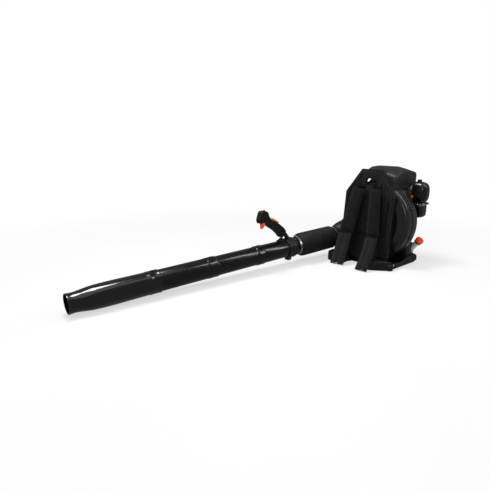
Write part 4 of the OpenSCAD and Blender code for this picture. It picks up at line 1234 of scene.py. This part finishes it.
def make_strap_hardware():
    """Bent steel hook plates at the top and slide buckles at the lower ends."""
    parts = []
    for x in (-48, 40):
        loop = [(x - 19, -3.6, 372), (x - 19, -5.2, 388), (x - 14, -5.4, 391), (x + 14, -5.4, 391),
                (x + 19, -5.2, 388), (x + 19, -3.6, 372)]
        parts.append(sweep("hook", [PLATE_FRAME @ Vector(p) for p in loop], 1.8, BLACK_STEEL, 12))
        parts.append(box("hook_plate", (x - 16, -3.2, 370), (x + 16, -1.0, 377), BLACK_STEEL, 0.6,
                         PLATE_FRAME))
    for x in (-81, 69):
        frame_loop = [(x - 23, -110.5, 140), (x + 23, -110.5, 140), (x + 23, -110.5, 150),
                      (x - 23, -110.5, 150)]
        closed = frame_loop + [frame_loop[0]]
        parts.append(sweep("buckle", closed, 1.6, BLACK_STEEL, 10))
        parts.append(rod("buckle_bar", (x - 23, -110.5, 145), (x + 23, -110.5, 145), 1.3, BLACK_STEEL,
                         0.3, 16))
    place_piece(join("strap_hardware_visual", parts), "frame", "strap_hardware")


make_shoulder("right", -48, -84, 76)
make_shoulder("left", 40, 64, 66)
make_lower("right", -78, -68, 76, -204)
make_lower("left", 72, 73, 64, -210)
make_back_pad()
make_strap_hardware()


# ---------------------------------------------------------------- engine, covers and tank

def cover_top_at(y):
    """Height of the lid along its length: a sloping brow, then a slow fall to the rear."""
    brow = 446 + (y + 34) / 56 * 24
    crown = 470.5 + 1.5 * math.sin(math.pi * min(1.0, max(0.0, (y - 22) / 100)))
    rear = 472 - max(0.0, y - 80) / 82 * 16
    return min(brow, crown, rear)


def make_engine_cover():
    """Lid over the engine: sloping brow, soft shoulders, louvres and two screws."""
    rings = []
    count = 34
    front_y, rear_y, corner = -33.5, 161.5, 12
    for i in range(count):
        t = i / (count - 1)
        y = front_y + (rear_y - front_y) * (0.5 - 0.5 * math.cos(math.pi * t))
        near = min(y - front_y, rear_y - y)
        inset = corner - math.sqrt(max(0.0, corner ** 2 - max(0.0, corner - near) ** 2))
        top = cover_top_at(y) - inset
        half = 121 - inset
        left = min(392 - inset, top - 20)
        outline = rounded([(-half, 371), (-half, left), (-48, top), (64, top),
                           (half, top - 15), (half, 371)], [1, 16, 26, 24, 12, 1], 6)
        rings.append([Vector((p.x, y, p.y)) for p in resample_open(outline, 80)])
    shell = loft_strip("cover_shell", rings, COVER_GREY)
    notch = box("intake_notch", (100, 96, 360), (130, 140, 385), SATIN, 0)
    scoop = slab("air_scoop", [Vector(q) for q in ((-130, -40), (-6, -40), (-68, 60), (-112, 128),
                                                  (-130, 146))], 360, 422, "z", COVER_GREY, (0, 0))
    parts = [cut(shell, notch, scoop)]
    for k in range(6):
        y = -20 + 17 * k
        parts.append(box("cover_louvre", (119.2, y, 392), (122.4, y + 8, 424), SATIN, 1.2))
    parts.append(box("cover_seam", (119, -29, 376), (121.6, 92, 379), SATIN, 0.8))
    for x in (-44, 52):
        parts.append(rod("cover_screw", (x, 118, 458), (x, 118, 465.8), 5, STEEL, 0.8, 32))
    place_piece(join("engine_cover_visual", parts), "frame", "engine_cover")


def resample_open(points, count):
    lengths = [0.0]
    for a, b in zip(points, points[1:]):
        lengths.append(lengths[-1] + (b - a).length)
    result = []
    j = 0
    for i in range(count):
        target = lengths[-1] * i / (count - 1)
        while j < len(points) - 2 and lengths[j + 1] < target:
            j += 1
        share = (target - lengths[j]) / max(1e-9, lengths[j + 1] - lengths[j])
        result.append(points[j].lerp(points[j + 1], min(1.0, share)))
    return result


def loft_strip(name, rings, material, thick=2.6):
    """Shell over open rings with both end rings capped, given a thickness inward."""
    count = len(rings[0])
    points = [p for ring in rings for p in ring]
    faces = []
    for i in range(len(rings) - 1):
        for j in range(count - 1):
            a, b = i * count + j, (i + 1) * count + j
            faces.append((a, a + 1, b + 1, b))
    faces.append(tuple(range(count)))
    faces.append(tuple((len(rings) - 1) * count + j for j in range(count)))
    piece = new_piece(name, points, faces, material)
    made = piece.modifiers.new("thick", "SOLIDIFY")
    made.thickness = thick * MM
    made.offset = -1
    settle(piece)
    piece.data.shade_smooth()
    piece.data.set_sharp_from_angle(angle=math.radians(38))
    return piece


def pillow(name, centre, half, power, material, flat_x=None, rings=34, around=72):
    """Superellipsoid, cut flat at one x; power is one exponent per axis."""
    ring_list = []
    for i in range(rings):
        a = -math.pi / 2 + math.pi * i / (rings - 1)
        height = math.copysign(abs(math.sin(a)) ** (2 / power[2]), math.sin(a))
        reach = max(1e-3, abs(math.cos(a)) ** (2 / power[2]))
        ring = []
        for k in range(around):
            b = 2 * math.pi * k / around
            x = math.copysign(abs(math.cos(b)) ** (2 / power[0]), math.cos(b)) * reach
            y = math.copysign(abs(math.sin(b)) ** (2 / power[1]), math.sin(b)) * reach
            place = Vector((centre[0] + half[0] * x, centre[1] + half[1] * y,
                            centre[2] + half[2] * height))
            if flat_x is not None:
                place.x = max(place.x, flat_x)
            ring.append(place)
        ring_list.append(ring)
    return loft(name, ring_list, material)


def make_air_cleaner():
    """Glossy dome, a waist with its spring clip, and a narrower lower box."""
    dome = pillow("cleaner_dome", (160, 115, 352), (46, 35, 51.5), (3.2, 3.2, 3.0), CLEANER_GLOSS, 144.6)
    lower = pillow("cleaner_box", (156, 115, 270), (40.5, 33.5, 37.5), (4.5, 4.5, 4.5), CLEANER_GLOSS,
                   144.6)
    rim = []
    for k in range(61):
        a = math.radians(-150 + 300 * k / 60)
        c, d = math.cos(a), math.sin(a)
        rim.append((160 + 42.6 * math.copysign(abs(c) ** 0.5, c),
                    115 + 34.2 * math.copysign(abs(d) ** 0.5, d)))
    waist = sweep("cleaner_waist", [(x, y, 303) for x, y in rim], 2.6, SATIN, 12)
    crest = sweep("cleaner_crest", [(185.5, 115 + 33.4 * math.sin(a), 352 + 47 * math.cos(a))
                                    for a in np.linspace(-1.9, 1.9, 50)], 2.2, CLEANER_GLOSS, 12)
    wire = sweep("clip_wire", [(x * 0.985 + 3, y * 0.985 + 1.7, 298) for x, y in rim], 1.5,
                 BRIGHT_STEEL, 10)
    parts = [dome, lower, waist, crest, wire]
    parts.append(box("clip_plate", (194, 86, 292), (200.5, 104, 307), STEEL, 1.0))
    parts.append(box("clip_tongue", (199, 126, 298), (206.5, 142, 301.5), BRIGHT_STEEL, 0.8))
    parts.append(rod("knob_seat", (158, 118, 396), (158, 118, 403), 7, CLEANER_GLOSS, 0.8, 40))
    place_piece(join("air_cleaner_cover_visual", parts), "frame", "air_cleaner_cover")
    knob = [rod("knob_core", (158, 118, 403.4), (158, 118, 413.2), 9, SATIN, 1.4, 40)]
    for k in range(8):
        a = 2 * math.pi * k / 8
        x, y = 158 + 8.6 * math.cos(a), 118 + 8.6 * math.sin(a)
        knob.append(rod("knob_lobe", (x, y, 403.6), (x, y, 412.4), 2.3, SATIN, 0.8, 20))
    place_piece(join("air_cleaner_knob_visual", knob), "cleaner_knob", "air_cleaner_knob")


def make_tank():
    """Blow-moulded tank with a welded seam, its slanted filler neck and a black collar."""
    outline = resample(rounded([(-148, 66), (157, 66), (157, 131), (-148, 131)], 14, 6), 160)
    shell = slab("tank_shell", outline, 8.6, 103.6, "z", TANK_SMOKE, (9, 9), 6)
    seam = slab("tank_seam", [p for p in inward(outline, -1.2)], 52, 54.5, "z", TANK_SMOKE, (0.8, 0.8), 3)
    neck_place = Matrix.Translation((150, 112, 74)) @ Matrix.Rotation(math.radians(40), 4, "Y")
    neck = revolve("tank_neck", ring_profile([(18, -12), (13.6, 4), (13, 8), (13, 60), (11, 60),
                                              (11, -12)], 0.8), neck_place, TANK_WHITE, 64)
    collar = revolve("neck_collar", ring_profile([(13.1, 44), (17.4, 45), (17.4, 49), (13.1, 50)], 0.8),
                     neck_place, BLACK_RUBBER, 64)
    grommet = rod("tank_grommet", (60, 126, 103), (60, 126, 110), 7, BLACK_RUBBER, 1.0, 32)
    place_piece(join("fuel_tank_visual", [shell, seam, neck, collar, grommet]), "frame", "fuel_tank")
    cap_place = neck_place @ Matrix.Translation((0, 0, 50))
    cap = [revolve("cap_core", ring_profile([(13.4, 2.2), (17.6, 2.2), (18, 3.4), (18, 17.2), (16.6, 19.6),
                                             (12.6, 20), (11.6, 18.8), (0.01, 18.8), (0.01, 10.6),
                                             (13.4, 10.6)], 0.7), cap_place, ORANGE, 96)]
    for k in range(24):
        a = 2 * math.pi * k / 24
        lower = cap_place @ Vector((17.9 * math.cos(a), 17.9 * math.sin(a), 4))
        upper = cap_place @ Vector((17.9 * math.cos(a), 17.9 * math.sin(a), 17))
        cap.append(rod("cap_rib", lower, upper, 1.3, ORANGE, 0.4, 12))
    cap.append(box("cap_bar", (-11, -2.6, 18.4), (11, 2.6, 20.6), ORANGE, 1.0, cap_place))
    place_piece(join("fuel_cap_visual", cap), "cap", "fuel_cap")
    route = [(60, 126, 104.2), (60, 128, 112), (62, 136, 130), (66, 138, 170), (72, 138, 230),
             (82, 136, 280), (98, 130, 304), (110, 121, 312), (113, 118, 317), (113, 118, 321.7)]
    hose = sweep("fuel_line_visual", curve_points(route, 60), 3.0, HOSE_RUBBER, 14)
    place_piece(hose, "frame", "fuel_line")


def make_intake_side():
    """Carburettor with its screws, the orange choke lever and the primer bulb."""
    place_piece(refined("carburettor", CAST_ALUMINIUM, 0.7), "frame", "carburettor")
    place_piece(refined("carb_insulator", SATIN, 0.8), "frame", "carb_insulator")
    place_piece(refined("air_cleaner_base", SATIN, 0.8), "frame", "air_cleaner_base")
    place_piece(refined("throttle_lever", YELLOW_STEEL, 0.4), "butterfly", "throttle_lever")
    place_piece(refined("choke_lever", ORANGE, 0.5), "choke", "choke_lever")
    bulb_place = Matrix.Translation((127, 118, 312))
    bulb = revolve("primer_bulb_visual", [(0.01, -7), (2.8, -6.6), (5.0, -5), (6.4, -2.6), (7, 0),
                                          (7, 3.8), (5.6, 4), (0.01, 4)], bulb_place, PRIMER_RUBBER, 48)
    place_piece(bulb, "primer", "primer_bulb")


def make_starter():
    place_piece(refined("starter_housing", SATIN, 1.2), "frame", "starter_housing")
    grip = refined("starter_grip", GRIP_BLACK, 2.4)
    place_piece(grip, "pull_grip", "starter_grip")
    rope_path = [(-2 - 80 * k / 60, 176, 253) for k in range(61)]
    rope = sweep("starter_rope_visual", rope_path, 1.9, ROPE, 12)
    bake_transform(rope)
    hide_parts("starter_rope")
    place_piece(refined("starter_pulley", NYLON, 0.5), "pulley", "starter_pulley")


def make_engine():
    for node, material, width in (
            ("crankcase_front", CAST_ALUMINIUM, 1.2), ("crankcase_rear", CAST_ALUMINIUM, 1.2),
            ("engine_cylinder", CAST_ALUMINIUM, 0.5), ("muffler", DARK_STEEL, 1.2),
            ("ignition_coil", NYLON, 1.0), ("intake_grille", SATIN, 0.6),
            ("rubber_mounts", BLACK_RUBBER, 1.0), ("housing_screws", STEEL, 0.4),
            ("plug_boot", BLACK_RUBBER, 0.8)):
        place_piece(refined(node, material, width), "frame", node)
    place_piece(refined("flywheel", CAST_ALUMINIUM, 0.6), "fan_rotor", "flywheel")
    place_piece(refined("impeller", NYLON, 0.5), "fan_rotor", "impeller")
    dress(BRIGHT_STEEL, "crankshaft", "main_bearings", "spark_plug")
    dress(CAST_ALUMINIUM, "piston")
    dress(STEEL, "connecting_rod")
    dress(FOAM, "air_filter")


make_engine_cover()
make_air_cleaner()
make_tank()
make_intake_side()
make_starter()
make_engine()
